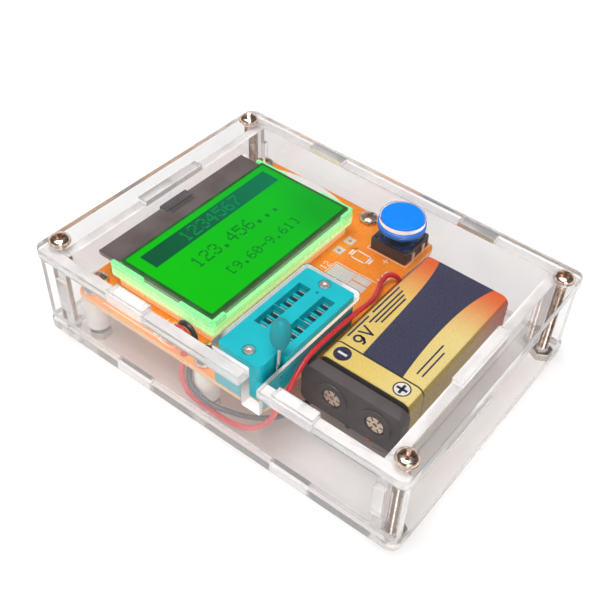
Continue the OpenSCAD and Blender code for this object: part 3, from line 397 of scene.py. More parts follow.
def lit_plastic(name, low_glow, high_glow, bottom, top, strength):
    """Clear or milky plastic with the display's light running through it, painted on as glow in bands from
    bottom to top.
    """
    s = Surface(name, (0.6, 0.8, 0.5), 0.25, Emission_Strength=strength, Transmission_Weight=0.2)
    z = s.axis("Z")
    rise = s.ramp(z, 0, 1, bottom, top)
    wobble = s.maths("MULTIPLY", s.noise(9, stretch=(1, 1, 0.3)), 0.5)
    band = s.maths("SINE", s.maths("MULTIPLY", s.maths("ADD", z, wobble), BAND_RATE))
    lit = s.ramp(band, 0, 1, -0.2, 0.9)
    glow = s.blend(rise, low_glow, high_glow)
    # The near-white bands are painted highlights along the lips.
    pale = s.blend(0.4, glow, (0.85, 1.0, 0.85))
    s.put("Emission Color", s.blend(lit, glow, pale))
    s.put("Base Color", s.blend(0.5, glow, (0.8, 0.85, 0.7)))
    s.put("Roughness", s.mottle(1.5, 0.15, 0.3))
    return s


PANEL_START = 6.0
PANEL_REAR_MARGIN = 8.2
PANEL_FRONT_MARGIN = 6.5
PANEL_SWEEP = 6.0
PRINT_BLUR = 0.06


def navy_panel(s, x, y):
    """Share of the panel's ink. Its margins narrow along the jacket, slowly and then in a sweep."""
    low, high = span("battery_case")
    start = low.x + PANEL_START
    run = s.line(x, start, high.x)
    sweep = s.maths("POWER", run, PANEL_SWEEP)
    rear_narrowing = s.maths("ADD", s.maths("MULTIPLY", run, 1.9), s.maths("MULTIPLY", sweep, 1.6))
    bulge = s.maths("MULTIPLY", s.maths("MULTIPLY", run, s.maths("SUBTRACT", 1.0, run)), 5.2)
    front_margin = s.maths("SUBTRACT", bulge, s.maths("MULTIPLY", sweep, 1.8))
    behind = s.maths("SUBTRACT", s.maths("ADD", rear_narrowing, high.y - PANEL_REAR_MARGIN), y)
    ahead = s.maths("SUBTRACT", y, s.maths("ADD", front_margin, low.y + PANEL_FRONT_MARGIN))
    inside = s.maths("MULTIPLY", s.ramp(behind, 0, 1, -PRINT_BLUR, PRINT_BLUR),
                     s.ramp(ahead, 0, 1, -PRINT_BLUR, PRINT_BLUR))
    return s.maths("MULTIPLY", inside, s.ramp(x, 0, 1, start + 0.1, start + 0.2))


def start_line(s, x, z):
    """Share of the dark line round the jacket where the panel starts, which stops short of the underside."""
    low = span("battery_case")[0]
    off_line = s.maths("ABSOLUTE", s.maths("SUBTRACT", x, low.x + PANEL_START))
    return s.maths("MULTIPLY", s.ramp(off_line, 1, 0, 0.18, 0.28), s.ramp(z, 0, 1, low.z + 4, low.z + 4.1))


def battery_print():
    """Printed foil jacket: gold, a navy panel that widens in a curve, and orange-red at the far end, with a
    painted sheen and a painted highlight on the top and painted shade on the sides.
    """
    s = Surface("battery_print", (0.8, 0.5, 0.1), 0.3, 0.1, Coat_Weight=0.35, Coat_Roughness=0.15)
    low, high = span("battery_case")
    x, y, z = s.axis("X"), s.axis("Y"), s.axis("Z")
    top = s.ramp(z, 0, 1, high.z - 0.9, high.z - 0.5)
    # A painted sheen over the gold.
    sheen = s.ramp(s.noise(30, detail=0, stretch=(0.4, 1, 1)), 0, 1, 0.2, 0.8)
    gold = s.blend(sheen, (0.97, 0.72, 0.20), (1.0, 0.77, 0.23))
    # Near-white gold towards the front edge: a painted highlight.
    pale = s.blend(s.ramp(y, 1, 0, low.y, low.y + 16), gold, (1.0, 0.83, 0.33))
    red_share = s.ramp(x, 0, 1, low.x + 24, high.x + 0.5)
    warm = s.blend(red_share, pale, (0.95, 0.15, 0.035))
    # The sides are darker copies of the top's gold and red: painted shade.
    side = s.blend(red_share, (0.33, 0.22, 0.018), (0.42, 0.045, 0.012))
    panel = s.maths("MULTIPLY", navy_panel(s, x, y), top)
    ink = s.ramp(s.noise(20, detail=0), 0, 1, 0.2, 0.8)
    navy = s.blend(ink, (0.046, 0.047, 0.095), (0.052, 0.053, 0.104))
    painted = s.blend(panel, s.blend(top, side, warm), navy)
    s.put("Base Color", s.blend(start_line(s, x, z), painted, (0.02, 0.02, 0.03)))
    s.put("Metallic", s.ramp(panel, 0.08, 0.0))
    s.put("Roughness", s.mottle(0.4, 0.27, 0.31, detail=1))
    s.bump(s.noise(0.15, detail=1), 0.002)
    return s


def brushed(name, base, rough, direction):
    """Metal sheet with fine scratches along one axis."""
    s = Surface(name, base, rough, 1.0)
    stretch = tuple(0.05 if a == direction else 1 for a in "XYZ")
    lines = s.noise(0.12, detail=2, stretch=stretch)
    s.put("Base Color", s.blend(s.mottle(3), tuple(c * 0.88 for c in base), base))
    s.put("Roughness", s.ramp(lines, rough * 0.7, rough * 1.4, 0.3, 0.7))
    s.bump(lines, 0.004)
    return s


INK_FADE = (-26, 22)


def display_ink(name, light, dark):
    """A dark mark on the lit face that lets more light through towards the right."""
    s = Surface(name, tuple(c * 0.1 for c in light), 0.15, Emission_Strength=1.0, Specular_IOR_Level=0.1)
    s.put("Emission Color", s.blend(s.ramp(s.axis("X"), 0, 1, *INK_FADE), dark, light))
    return s


MATERIALS = {
    "sheet": acrylic("acrylic_sheet", "Z"),
    "side": acrylic("acrylic_side", "X"),
    "end": acrylic("acrylic_end", "Y"),
    "plated": grained("plated_steel", (0.68, 0.53, 0.44), 0.22, 1.0, tone=0.35, blot=0.8, grain=0.3,
                      depth=0.012),
    "nut": brushed("nut_steel", (0.62, 0.58, 0.54), 0.3, "Z"),
    "mask": solder_mask(),
    "nylon": grained("nylon", (0.83, 0.80, 0.74), 0.5, tone=0.05, depth=0.02, Subsurface_Weight=0.25,
                     Subsurface_Radius=(0.002, 0.0018, 0.0014)),
    "solder": grained("solder", (0.62, 0.62, 0.63), 0.28, 1.0, blot=0.8, depth=0.02),
    "pad": grained("tinned_pad", (0.68, 0.65, 0.63), 0.5, 0.15, tone=0.05, blot=1.0, depth=0.012),
    "silk": grained("silk_ink", (0.90, 0.88, 0.86), 0.6, tone=0.05, blot=0.6, depth=0.008),
    "label": grained("label_paper", (0.90, 0.90, 0.89), 0.7, tone=0.03, blot=3, grain=0.15, depth=0.008),
    # The tray's orange glow at its foot is painted light standing in for the orange board seen through it.
    "tray": lit_plastic("tray_plastic", (0.95, 0.36, 0.07), (0.62, 0.62, 0.16), 18, 21.7, 0.42),
    "frame": lit_plastic("lit_frame", (0.42, 0.78, 0.28), (0.0, 0.66, 0.16), 21.7, 26.3, 0.6),
    "guide": lit_plastic("light_guide", (0.0, 0.60, 0.05), (0.10, 0.80, 0.15), 21.7, 24.6, 0.8),
    "ledge": ledge_glass(),
    "rim": rim_glass(),
    "face": lit_face(),
    "bar": display_ink("display_bar", (0.0, 0.20, 0.085), (0.0, 0.10, 0.035)),
    "title": display_ink("display_title", (0.0, 0.32, 0.10), (0.0, 0.30, 0.05)),
    "dots": display_ink("display_dots", (0.0, 0.22, 0.03), (0.0, 0.21, 0.012)),
    "chip": grained("chip_epoxy", (0.018, 0.018, 0.02), 0.55, tone=0.3, blot=1, grain=0.12, depth=0.012),
    "flex": grained("flex_film", (0.10, 0.088, 0.095), 0.35, tone=0.2, blot=1.5, depth=0.006),
    "teal": grained("socket_plastic", (0.0, 0.45, 0.52), 0.42, tone=0.05, blot=6, grain=0.18, depth=0.01),
    # A darker copy of the socket plastic for the slider inside the socket: painted shade.
    "teal_shaded": grained("socket_plastic_painted_shade", (0.0, 0.30, 0.36), 0.42, tone=0.08, blot=5, grain=0.18,
                         depth=0.01),
    "knob": grained("knob_plastic", (0.0, 0.27, 0.31), 0.5, tone=0.03, blot=6, grain=0.5, depth=0.0),
    "contact": brushed("contact_metal", (0.92, 0.90, 0.87), 0.38, "Z"),
    "wire": brushed("lever_wire", (0.70, 0.64, 0.58), 0.25, "Z"),
    "switch": grained("switch_plastic", (0.055, 0.042, 0.044), 0.5, tone=0.15, blot=3, grain=0.15,
                      depth=0.015),
    "switch_plate": brushed("switch_sheet", (0.30, 0.29, 0.30), 0.3, "X"),
    "blue": grained("button_plastic", (0.0, 0.215, 0.90), 0.42, tone=0.02, blot=8, grain=1.5, depth=0.0,
                    Specular_IOR_Level=0.3),
    "battery": battery_print(),
    "base": grained("battery_base", (0.50, 0.33, 0.09), 0.35, 0.7, tone=0.1, depth=0.01),
    "cells": brushed("cell_can", (0.6, 0.6, 0.62), 0.3, "X"),
    "vinyl": grained("snap_vinyl", (0.085, 0.070, 0.072), 0.52, tone=0.12, blot=5, grain=0.3, depth=0.02),
    "petal": brushed("snap_rivet", (0.80, 0.68, 0.56), 0.2, "Y"),
    "rivet": brushed("socket_rivet", (0.92, 0.87, 0.80), 0.34, "Z"),
    "red": grained("red_vinyl", (0.72, 0.022, 0.035), 0.32, tone=0.06, blot=3, grain=0.5, depth=0.008,
                   Coat_Weight=0.2, Coat_Roughness=0.2),
    "black": grained("black_vinyl", (0.022, 0.018, 0.026), 0.36, tone=0.2, blot=3, grain=0.5, depth=0.008,
                     Coat_Weight=0.2, Coat_Roughness=0.2),
    "ceramic": grained("ceramic", (0.33, 0.22, 0.13), 0.5, tone=0.1, blot=0.8, depth=0.01),
    "navy": grained("navy_ink", (0.032, 0.031, 0.085), 0.3, tone=0.15, blot=2, depth=0.004),
    "white": grained("white_ink", (0.92, 0.90, 0.86), 0.35, tone=0.03, blot=2, depth=0.004),
    "copper": grained("masked_copper", (1.0, 0.36, 0.03), 0.3, tone=0.05, blot=2, depth=0.01),
}

NODE_LOOKS = {
    "top_plate": ("sheet", 0.12), "bottom_plate": ("sheet", 0.12),
    "left_wall": ("side", 0.1), "right_wall": ("side", 0.1),
    "front_wall": ("end", 0.1), "rear_wall": ("end", 0.1),
    "case_screws": ("plated", 0), "board_screws": ("plated", 0),
    "case_nuts": ("nut", 0.2), "board_nuts": ("nut", 0.2),
    "circuit_board": ("mask", 0.05), "board_spacers": ("nylon", 0.2),
    "solder_joints": ("solder", 0), "test_pads": ("pad", 0), "board_label": ("label", 0),
    "display_tray": ("tray", 0.15), "display_frame": ("frame", 0.15), "light_guide": ("guide", 0),
    "lower_glass": ("ledge", 0.08), "upper_glass": ("rim", 0.08), "display_polariser": ("face", 0),
    "display_driver": ("chip", 0), "display_flex": ("flex", 0),
    # The slider gets the darker copy of the socket plastic, which is painted shade.
    "socket_base": ("teal", 0.1), "socket_cover": ("teal", 0.12), "socket_slider": ("teal_shaded", 0),
    "socket_rivets": ("rivet", 0.06), "socket_contacts": ("contact", 0.04),
    "lever_rod": ("wire", 0), "lever_cam": ("nut", 0), "lever_knob": ("knob", 0),
    "switch_body": ("switch", 0.15), "switch_plate": ("switch_plate", 0.05),
    "switch_terminals": ("contact", 0.05), "switch_dome": ("contact", 0), "switch_plunger": ("switch", 0),
    "button_cap": ("blue", 0.15),
    "battery_case": ("battery", 0), "battery_cells": ("cells", 0), "battery_top": ("vinyl", 0),
    "battery_bottom": ("base", 0),
    "positive_terminal": ("contact", 0.2), "negative_terminal": ("contact", 0.1),
    "snap_cover": ("vinyl", 0.25), "snap_contacts": ("contact", 0), "snap_rivets": ("petal", 0.05),
    "red_lead": ("red", 0), "black_lead": ("black", 0),
    "microcontroller": ("chip", 0), "microcontroller_leads": ("contact", 0), "crystal": ("nut", 0.2),
    "voltage_regulator": ("chip", 0), "transistors": ("chip", 0), "resistors": ("chip", 0),
    "capacitors": ("ceramic", 0),
}


WELD_REACH = 0.0005


def round_edges(piece, width):
    """Joins the mesh's loose corners and rounds its sharp edges."""
    weld = piece.modifiers.new("weld", "WELD")
    weld.merge_threshold = WELD_REACH * MM
    bevel = piece.modifiers.new("bevel", "BEVEL")
    bevel.width = width * MM
    bevel.segments = 2
    bevel.limit_method = "ANGLE"
    bevel.angle_limit = math.radians(40)
    bevel.harden_normals = True
    bevel.use_clamp_overlap = True


def paint(piece, look):
    piece.data.materials.clear()
    piece.data.materials.append(MATERIALS[look].material)


for node_name, (look, rounding) in NODE_LOOKS.items():
    paint(NODES[node_name], look)
    if rounding:
        round_edges(NODES[node_name], rounding)
paint(red_lead, "red")
paint(black_lead, "black")


# ---- Mesh helpers ----

SMOOTH_ANGLE = 35


def new_piece(name, mesh_builder, look):
    """A piece of the case's body, from a function that fills a mesh in millimetres."""
    mesh = bpy.data.meshes.new(name)
    bm = bmesh.new()
    mesh_builder(bm)
    bmesh.ops.recalc_face_normals(bm, faces=bm.faces)
    bm.transform(Matrix.Scale(MM, 4))
    limit = math.radians(SMOOTH_ANGLE)
    for face in bm.faces:
        face.smooth = True
    for edge in bm.edges:
        edge.smooth = edge.is_manifold and edge.calc_face_angle(0) < limit
    bm.to_mesh(mesh)
    bm.free()
    piece = bpy.data.objects.new(name, mesh)
    bpy.context.scene.collection.objects.link(piece)
    paint(piece, look)
    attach(piece, "case")
    return piece


def rectangle(x, y, w, d, turn=0.0):
    """A rectangle round its middle, turned by turn degrees."""
    c, s = math.cos(math.radians(turn)), math.sin(math.radians(turn))
    corners = ((-w / 2, -d / 2), (w / 2, -d / 2), (w / 2, d / 2), (-w / 2, d / 2))
    return [(x + a * c - b * s, y + a * s + b * c) for a, b in corners]


def disc(x, y, r, count=32):
    return [(x + r * math.cos(2 * math.pi * k / count), y + r * math.sin(2 * math.pi * k / count))
            for k in range(count)]


def stroke(a, b, w):
    """A straight mark of width w from a to b."""
    length = math.dist(a, b) + w
    turn = math.degrees(math.atan2(b[1] - a[1], b[0] - a[0]))
    return rectangle((a[0] + b[0]) / 2, (a[1] + b[1]) / 2, length, w, turn)


def strokes(points, w, closed=False):
    ends = points[1:] + points[:1] if closed else points[1:]
    return [stroke(a, b, w) for a, b in zip(points, ends)]


def ring_marks(x, y, r, w, count=32):
    """A ring as one outline per segment, so that it stays open in the middle."""
    inner, outer = disc(x, y, r - w, count), disc(x, y, r, count)
    return [[inner[k], outer[k], outer[(k + 1) % count], inner[(k + 1) % count]] for k in range(count)]


def raise_outlines(bm, outlines, low, high):
    """Thin solids with flat outlines between two heights."""
    for outline in outlines:
        bottom = [bm.verts.new((x, y, low)) for x, y in outline]
        top = [bm.verts.new((x, y, high)) for x, y in outline]
        bm.faces.new(bottom[::-1])
        bm.faces.new(top)
        for i in range(len(outline)):
            j = (i + 1) % len(outline)
            bm.faces.new((bottom[i], bottom[j], top[j], top[i]))


def printed(name, outlines, low, look, thickness):
    """Flat marks that stand a little way up from low."""
    return new_piece(name, lambda bm: raise_outlines(bm, outlines, low, low + thickness), look)


# ---- Plain figures ----

DOT_FIGURES = {
    "0": "01110 10001 10011 10101 11001 10001 01110", "1": "00100 01100 00100 00100 00100 00100 01110",
    "2": "01110 10001 00001 00110 01000 10000 11111", "3": "01110 10001 00001 00110 00001 10001 01110",
    "4": "00010 00110 01010 10010 11111 00010 00010", "5": "11111 10000 11110 00001 00001 10001 01110",
    "6": "00110 01000 10000 11110 10001 10001 01110", "7": "11111 00001 00010 00100 01000 01000 01000",
    "8": "01110 10001 10001 01110 10001 10001 01110", "9": "01110 10001 10001 01111 00001 00010 01100",
    ".": "00000 00000 00000 00000 00000 01100 01100", "-": "00000 00000 00000 11111 00000 00000 00000",
    "+": "00000 00100 00100 11111 00100 00100 00000", "[": "01110 01000 01000 01000 01000 01000 01110",
    "]": "01110 00010 00010 00010 00010 00010 01110",
}
DOT_FILL = 0.9
DOT_STEP = 6
DOT_ROWS = 7


def dot_row(text, left, base, dot_w, dot_h):
    """Outlines of the dots of a row of figures that starts at left and stands on base."""
    dots = []
    for place, figure in enumerate(text):
        for row, bits in enumerate(DOT_FIGURES[figure].split()):
            for column, bit in enumerate(bits):
                if bit == "1":
                    x = left + (place * DOT_STEP + column + 0.5) * dot_w
                    y = base + (DOT_ROWS - 0.5 - row) * dot_h
                    dots.append(rectangle(x, y, dot_w * DOT_FILL, dot_h * DOT_FILL))
    return dots


# ---- Display ----

INK_T = 0.02
BAR_LEFT, BAR_RIGHT = 3.1, 51.8
BAR_FRONT, BAR_REAR = 21.6, 27.6
BIG_DOT = (0.55, 0.62)
SMALL_DOT = (0.43, 0.45)


def make_display():
    """The dark bar with its title, and two rows of figures, placed from the lit face's front left corner."""
    low, high = span("display_polariser")
    left, front = low.x + BAR_LEFT, low.y + BAR_FRONT
    width, depth = BAR_RIGHT - BAR_LEFT, BAR_REAR - BAR_FRONT
    bar = rectangle(left + width / 2, front + depth / 2, width, depth)
    printed("display_bar", [bar], high.z, "bar", INK_T)
    title = dot_row("1234567", left + 12.4, front + 0.9, *BIG_DOT)
    printed("display_title", title, high.z + INK_T, "title", INK_T)
    reading = dot_row("123.456...", left + 6.9, low.y + 13.2, *BIG_DOT)
    level = dot_row("[9.60-9.61]", left + 10.6, low.y + 5.2, *SMALL_DOT)
    printed("display_figures", reading + level, high.z, "dots", INK_T)


make_display()


# ---- Circuit board print ----

SILK_T = 0.02
COPPER_T = 0.012
VIA_T = 0.02
PRINT_GAP = 0.5
TRACK_COUNT = 3
LEAD_BOX_REAR, LEAD_BOX_FRONT = 19.9, 15.2
VIA_R = 0.42
VIA_RIM = 0.2


def switch_outline():
    low, high = span("switch_body")
    left, right = low.x - PRINT_GAP, high.x + PRINT_GAP
    front, rear = low.y - PRINT_GAP, high.y + PRINT_GAP
    return strokes([(left, front), (right, front), (right, rear), (left, rear)], 0.2, closed=True)


def pad_marks():
    """The outline round the test pads, plain figures and the footprint of a part that isn't fitted."""
    low = span("test_pads")[0]
    left, right, rear = low.x - 0.6, low.x + 8.5, low.y + 12.6
    step = 0.2
    marks = strokes([(left, low.y), (left, rear), (right, rear), (right, low.y + 4.4),
                     (right + step, low.y + 3.6), (right + step, low.y - 0.4)], 0.22)
    marks += dot_row("12", low.x + 3.9, rear + 0.5, 0.28, 0.3)
    marks += dot_row("123", right + 0.9, low.y - 2.6, 0.3, 0.34)
    spare_x, spare_y = right + 6.0, rear - 4.0
    marks += strokes(rectangle(spare_x, spare_y, 3.2, 5.0), 0.4, closed=True)
    marks += [rectangle(spare_x, spare_y + end * 3.3, 2.2, 0.6) for end in (-1, 1)]
    return marks


def switch_plus():
    low = span("switch_body")[0]
    x, y, reach = low.x - 2.0, low.y + 5.2, 0.7
    return [stroke((x - reach, y), (x + reach, y), 0.3), stroke((x, y - reach), (x, y + reach), 0.3)]


def left_marks():
    """A line along the display, and a box with its signs round the lead pads."""
    low, high = span("circuit_board")
    line_x = low.x + 1.3
    marks = strokes([(line_x, high.y - 9), (line_x, span("display_frame")[0].y + 12.4)], 0.22)
    left, right = low.x + 1.0, low.x + 5.4
    marks += strokes([(left, LEAD_BOX_FRONT), (right, LEAD_BOX_FRONT), (right, LEAD_BOX_REAR),
                      (left, LEAD_BOX_REAR)], 0.2, closed=True)
    sign_y = LEAD_BOX_REAR + 0.7
    return marks + dot_row("+", left + 0.2, sign_y, 0.28, 0.3) + dot_row("-", left + 2.6, sign_y, 0.28, 0.3)


def track_runs():
    """Copper under the mask: runs past the socket, from the display to the switch and up the right side."""
    board = span("circuit_board")[1]
    switch_low, switch_high = span("switch_body")
    socket_front, socket_right = span("socket_cover")[0].y, span("socket_cover")[1].x
    display_front = span("display_frame")[0].y
    pads_right = span("test_pads")[1].x
    runs = []
    for k in range(TRACK_COUNT):
        y = socket_front + 1.8 + 0.95 * k
        bend = socket_right + 16.5 + k
        runs += strokes([(socket_right + 1.4, y), (bend, y), (bend + 2.0, y + 2.0),
                         (switch_low.x - 0.9, y + 2.0)], 0.35)
    for k in range(TRACK_COUNT):
        x = pads_right - 4.2 + 0.6 * k
        y = switch_high.y + 3.0 - 0.8 * k
        runs += strokes([(x, display_front - 0.4), (x, y + 1.4), (x + 1.4, y), (switch_low.x + 5, y)], 0.3)
    for k in range(TRACK_COUNT):
        x = board.x - 1.2 - 1.0 * k
        bend = board.y - 8 - 2 * k
        runs += strokes([(x, switch_high.y + 1.0), (x, bend), (x - 2, bend + 2)], 0.3)
    return runs


def via_rings():
    low, high = span("circuit_board")
    socket_right = span("socket_cover")[1].x
    places = ((high.x - 3.4, 9.6), (low.x + 2.4, 28.4), (low.x + 3.3, 36.8), (socket_right + 5.2, 4.2))
    rings = []
    for x, y in places:
        rings += ring_marks(x, y, VIA_R, VIA_RIM, 16)
    return rings


def make_board_print():
    top = span("circuit_board")[1].z
    silk = switch_outline() + pad_marks() + switch_plus() + left_marks()
    printed("board_silk", silk, top, "silk", SILK_T)
    printed("board_tracks", track_runs(), top, "copper", COPPER_T)
    printed("board_vias", via_rings(), top + COPPER_T, "solder", VIA_T)


make_board_print()


# ---- Battery marks ----

FILM_T = 0.012
SIGN_RING_R = 2.3
SIGN_REACH = 1.1
RATING_W = 0.62


def plus_sign(x, y):
    """A ring with a plus in it."""
    return ring_marks(x, y, SIGN_RING_R, 0.35) + [
        stroke((x - SIGN_REACH, y), (x + SIGN_REACH, y), 0.75),
        stroke((x, y - SIGN_REACH), (x, y + SIGN_REACH), 0.75)]


def rating(left, base):
    """The figure 9 and the letter V, drawn with strokes."""
    loop_x, loop_y = left + 1.3, base + 0.9
    marks = ring_marks(loop_x, loop_y, 1.35, RATING_W)
    marks += strokes([(loop_x + 1.05, loop_y), (loop_x + 0.85, loop_y - 1.1), (loop_x, loop_y - 1.95),
                      (loop_x - 0.6, loop_y - 2.0)], RATING_W)
    foot = left + 4.6
    return marks + strokes([(foot - 1.2, base + 2.2), (foot, base - 1.1), (foot + 1.2, base + 2.2)], 0.6)


def print_bars(left, rating_base):
    """Plain bars where the jacket has its lines of print, behind the panel and in front of it."""
    low, high = span("battery_case")
    edge_y, front_y = high.y - 1.9, low.y + 3.0
    bars = [rectangle(left + 15, rating_base + 2.0 - 1.15 * k, 15 - 2.0 * k, 0.5) for k in range(3)]
    bars += [rectangle(left + 4.8, edge_y, 9, 0.5), rectangle(left + 17, edge_y, 12, 0.5)]
    return bars + [rectangle(left + 7, front_y + 1.5, 12, 0.45), rectangle(left + 6, front_y, 10, 0.45)]


def make_battery_marks():
    """Ink in three films: the white field of the plus, the navy marks, and the white bar of the minus."""
    low, high = span("battery_case")
    sign_x, text_x = low.x + 3.0, low.x + 8.2
    minus_y, plus_y, rating_base = high.y - 4.4, low.y + 4.6, high.y - 5.3
    navy = [disc(sign_x, minus_y, SIGN_RING_R)] + plus_sign(sign_x, plus_y)
    navy += rating(text_x, rating_base) + print_bars(text_x, rating_base)
    printed("battery_figures", navy, high.z + FILM_T, "navy", FILM_T)
    field = [disc(sign_x, plus_y, SIGN_RING_R - 0.2)]
    printed("battery_mark_field", field, high.z, "white", FILM_T)
    bar = [rectangle(sign_x, minus_y, 0.7, 2.6)]
    printed("battery_minus", bar, high.z + 2 * FILM_T, "white", FILM_T)


make_battery_marks()


# ---- Screws ----

THREAD_PITCH = 0.5
THREAD_CREST = 1.48
THREAD_ROOT = 1.2
THREAD_SEGMENTS = 18
THREAD_SINK = 0.05
HEAD_R = 2.9
HEAD_RINGS = 8
HEAD_SEGMENTS = 48
CROSS_DEPTH = 1.35
CASE_TURNS = (24, 61, 8, 40)
BOARD_TURNS = (15, 70, 33, 52)


def lathe(bm, profile, x, y, count):
    """A closed turned solid from (radius, height) points that start and end on its axis."""
    rings = []
    for r, z in profile:
        if r < 1e-6:
            rings.append([bm.verts.new((x, y, z))])
        else:
            rings.append([bm.verts.new((px, py, z)) for px, py in disc(x, y, r, count)])
    for a, b in zip(rings, rings[1:]):
        for k in range(count):
            j = (k + 1) % count
            corners = [a[k % len(a)], a[j % len(a)], b[j % len(b)], b[k % len(b)]]
            bm.faces.new(list(dict.fromkeys(corners)))


def thread(bm, x, y, top, bottom):
    """A rod with a real helical thread, closed at both ends."""
    n = THREAD_SEGMENTS
    turns = int((top - bottom) / THREAD_PITCH) - 1
    rings = 2 * turns + 1
    grid = []
    for i in range(rings):
        r = THREAD_CREST if i % 2 else THREAD_ROOT
        row = []
        for k in range(n):
            a = 2 * math.pi * k / n
            z = top - THREAD_PITCH * (i / 2 + k / n)
            row.append(bm.verts.new((x + r * math.cos(a), y + r * math.sin(a), z)))
        grid.append(row)
    for i in range(rings - 1):
        for k in range(n - 1):
            bm.faces.new((grid[i][k], grid[i][k + 1], grid[i + 1][k + 1], grid[i + 1][k]))
        if i + 3 < rings:
            bm.faces.new((grid[i][n - 1], grid[i + 2][0], grid[i + 3][0], grid[i + 1][n - 1]))
    head = [bm.verts.new((px, py, top + THREAD_SINK)) for px, py in disc(x, y, THREAD_ROOT, n)]
    foot = [bm.verts.new((px, py, bottom)) for px, py in disc(x, y, THREAD_ROOT, n)]
    last = rings - 1
    for k in range(n - 1):
        bm.faces.new((head[k], head[k + 1], grid[0][k + 1], grid[0][k]))
        bm.faces.new((grid[last][k], grid[last][k + 1], foot[k + 1], foot[k]))
    bm.faces.new((head[n - 1], head[0], grid[0][0], grid[1][0], grid[2][0], grid[0][n - 1]))
    bm.faces.new((grid[last][n - 1], grid[last - 1][n - 1], grid[last - 2][n - 1], grid[last][0],
                  foot[0], foot[n - 1]))
    bm.faces.new(head)
    bm.faces.new(foot[::-1])


def cross_cutter(bm, depth_from, depth_to):
    """The tapered cross that a driver fits."""
    for turn in (0, 90):
        wide = rectangle(0, 0, 3.7, 1.15, turn)
        narrow = rectangle(0, 0, 1.7, 0.7, turn)
        top = [bm.verts.new((x, y, depth_from)) for x, y in wide]
        bottom = [bm.verts.new((x, y, depth_to)) for x, y in narrow]
        bm.faces.new(top)
        bm.faces.new(bottom[::-1])
        for i in range(4):
            bm.faces.new((bottom[i], bottom[(i + 1) % 4], top[(i + 1) % 4], top[i]))


def bare_object(name, builder):
    mesh = bpy.data.meshes.new(name)
    bm = bmesh.new()
    builder(bm)
    bmesh.ops.recalc_face_normals(bm, faces=bm.faces)
    bm.to_mesh(mesh)
    bm.free()
    made = bpy.data.objects.new(name, mesh)
    bpy.context.scene.collection.objects.link(made)
    return made


def head_mesh(head_r, head_h):
    """A pan head with a crossed recess, seated on z = 0."""
    edge = head_h * 0.32
    dome = [(head_r * math.cos(a) ** 0.75, edge + (head_h - edge) * math.sin(a))
            for a in (math.radians(90 * k / HEAD_RINGS) for k in range(HEAD_RINGS))]
    profile = [(0, 0), (head_r - 0.15, 0), (head_r, 0.15)] + dome + [(0, head_h)]
    body = bare_object("head", lambda bm: lathe(bm, profile, 0, 0, HEAD_SEGMENTS))
    cutter = bare_object("cutter", lambda bm: cross_cutter(bm, head_h + 0.3, head_h - CROSS_DEPTH))
    cut = body.modifiers.new("cut", "BOOLEAN")
    cut.object = cutter
    cut.solver = "EXACT"
    cut.use_self = True
    bpy.context.view_layer.update()
    shaped = bpy.data.meshes.new_from_object(body.evaluated_get(bpy.context.evaluated_depsgraph_get()))
    for made in (body, cutter):
        bpy.data.objects.remove(made)
    return shaped


def make_screws(name, node, seat, turns):
    """Four screws at the corners of the node's box, front pair first, each recess turned its own way."""
    low, high = span(node)
    left, right, front, rear = low.x + HEAD_R, high.x - HEAD_R, low.y + HEAD_R, high.y - HEAD_R
    places = [(left, front), (right, front), (left, rear), (right, rear)]
    head = head_mesh(HEAD_R, high.z - seat)

    def build(bm):
        for (x, y), turn in zip(places, turns):
            start = len(bm.verts)
            bm.from_mesh(head)
            bm.verts.ensure_lookup_table()
            fresh = bm.verts[start:]
            spin = Matrix.Translation((x, y, seat)) @ Matrix.Rotation(math.radians(turn), 4, "Z")
            bmesh.ops.transform(bm, matrix=spin, verts=fresh)
            thread(bm, x, y, seat - THREAD_SINK, low.z)

    piece = new_piece(name, build, "plated")
    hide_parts(node)


make_screws("case_screw_set", "case_screws", span("top_plate")[1].z, CASE_TURNS)
make_screws("board_screw_set", "board_screws", span("circuit_board")[1].z, BOARD_TURNS)


# ---- Floor and light ----

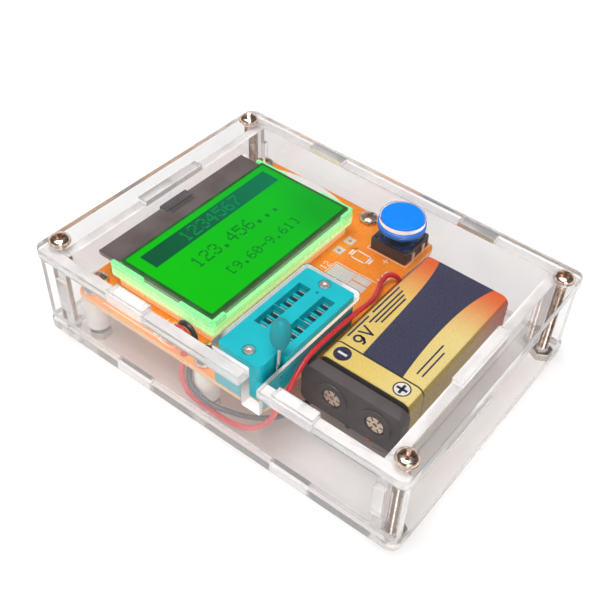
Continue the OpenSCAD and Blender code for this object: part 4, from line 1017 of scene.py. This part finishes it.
FLOOR_HALF = 0.55
CEILING = {"place": (-0.3, 0.2, 3.0), "size": 1.8, "power": 85}
SIDE = {"place": (-1.2, -1.4, 1.5), "size": 1.0, "power": 14}
WALLS_TO, CEILING_FROM = 0.25, 0.5
WALLS_LIGHT, CEILING_LIGHT = 1.0, 0.10


def make_floor():
    bm = bmesh.new()
    bmesh.ops.create_grid(bm, x_segments=1, y_segments=1, size=FLOOR_HALF)
    mesh = bpy.data.meshes.new("floor")
    bm.to_mesh(mesh)
    bm.free()
    floor = bpy.data.objects.new("floor", mesh)
    bpy.context.scene.collection.objects.link(floor)
    s = Surface("floor_paper", (0.95, 0.95, 0.95), 0.9)
    s.put("Base Color", s.blend(s.mottle(60), (0.94, 0.94, 0.94), (0.96, 0.96, 0.96)))
    floor.data.materials.append(s.material)


def make_light(name, place, size, power):
    """A square softbox aimed at the middle of the floor."""
    data = bpy.data.lights.new(name, "AREA")
    data.shape = "RECTANGLE"
    data.size = data.size_y = size
    data.energy = power
    light = bpy.data.objects.new(name, data)
    bpy.context.scene.collection.objects.link(light)
    light.location = place
    light.rotation_mode = "QUATERNION"
    light.rotation_quaternion = (-Vector(place)).to_track_quat("-Z", "Y")


def make_world():
    """A studio: white walls at the horizon under a dimmer ceiling."""
    world = bpy.data.worlds.new("studio")
    world.use_nodes = True
    tree = world.node_tree
    background = tree.nodes["Background"]
    coordinates = tree.nodes.new("ShaderNodeTexCoord")
    axes = tree.nodes.new("ShaderNodeSeparateXYZ")
    level = tree.nodes.new("ShaderNodeMapRange")
    level.interpolation_type = "SMOOTHSTEP"
    for socket, value in (("From Min", WALLS_TO), ("From Max", CEILING_FROM),
                          ("To Min", WALLS_LIGHT), ("To Max", CEILING_LIGHT)):
        level.inputs[socket].default_value = value
    tree.links.new(coordinates.outputs["Generated"], axes.inputs[0])
    tree.links.new(axes.outputs["Z"], level.inputs["Value"])
    tree.links.new(level.outputs[0], background.inputs["Strength"])
    background.inputs["Color"].default_value = (1.0, 1.0, 1.0, 1)
    bpy.context.scene.world = world


make_floor()
make_world()
make_light("ceiling_softbox", **CEILING)
make_light("side_softbox", **SIDE)
bpy.context.scene.view_settings.view_transform = "Standard"
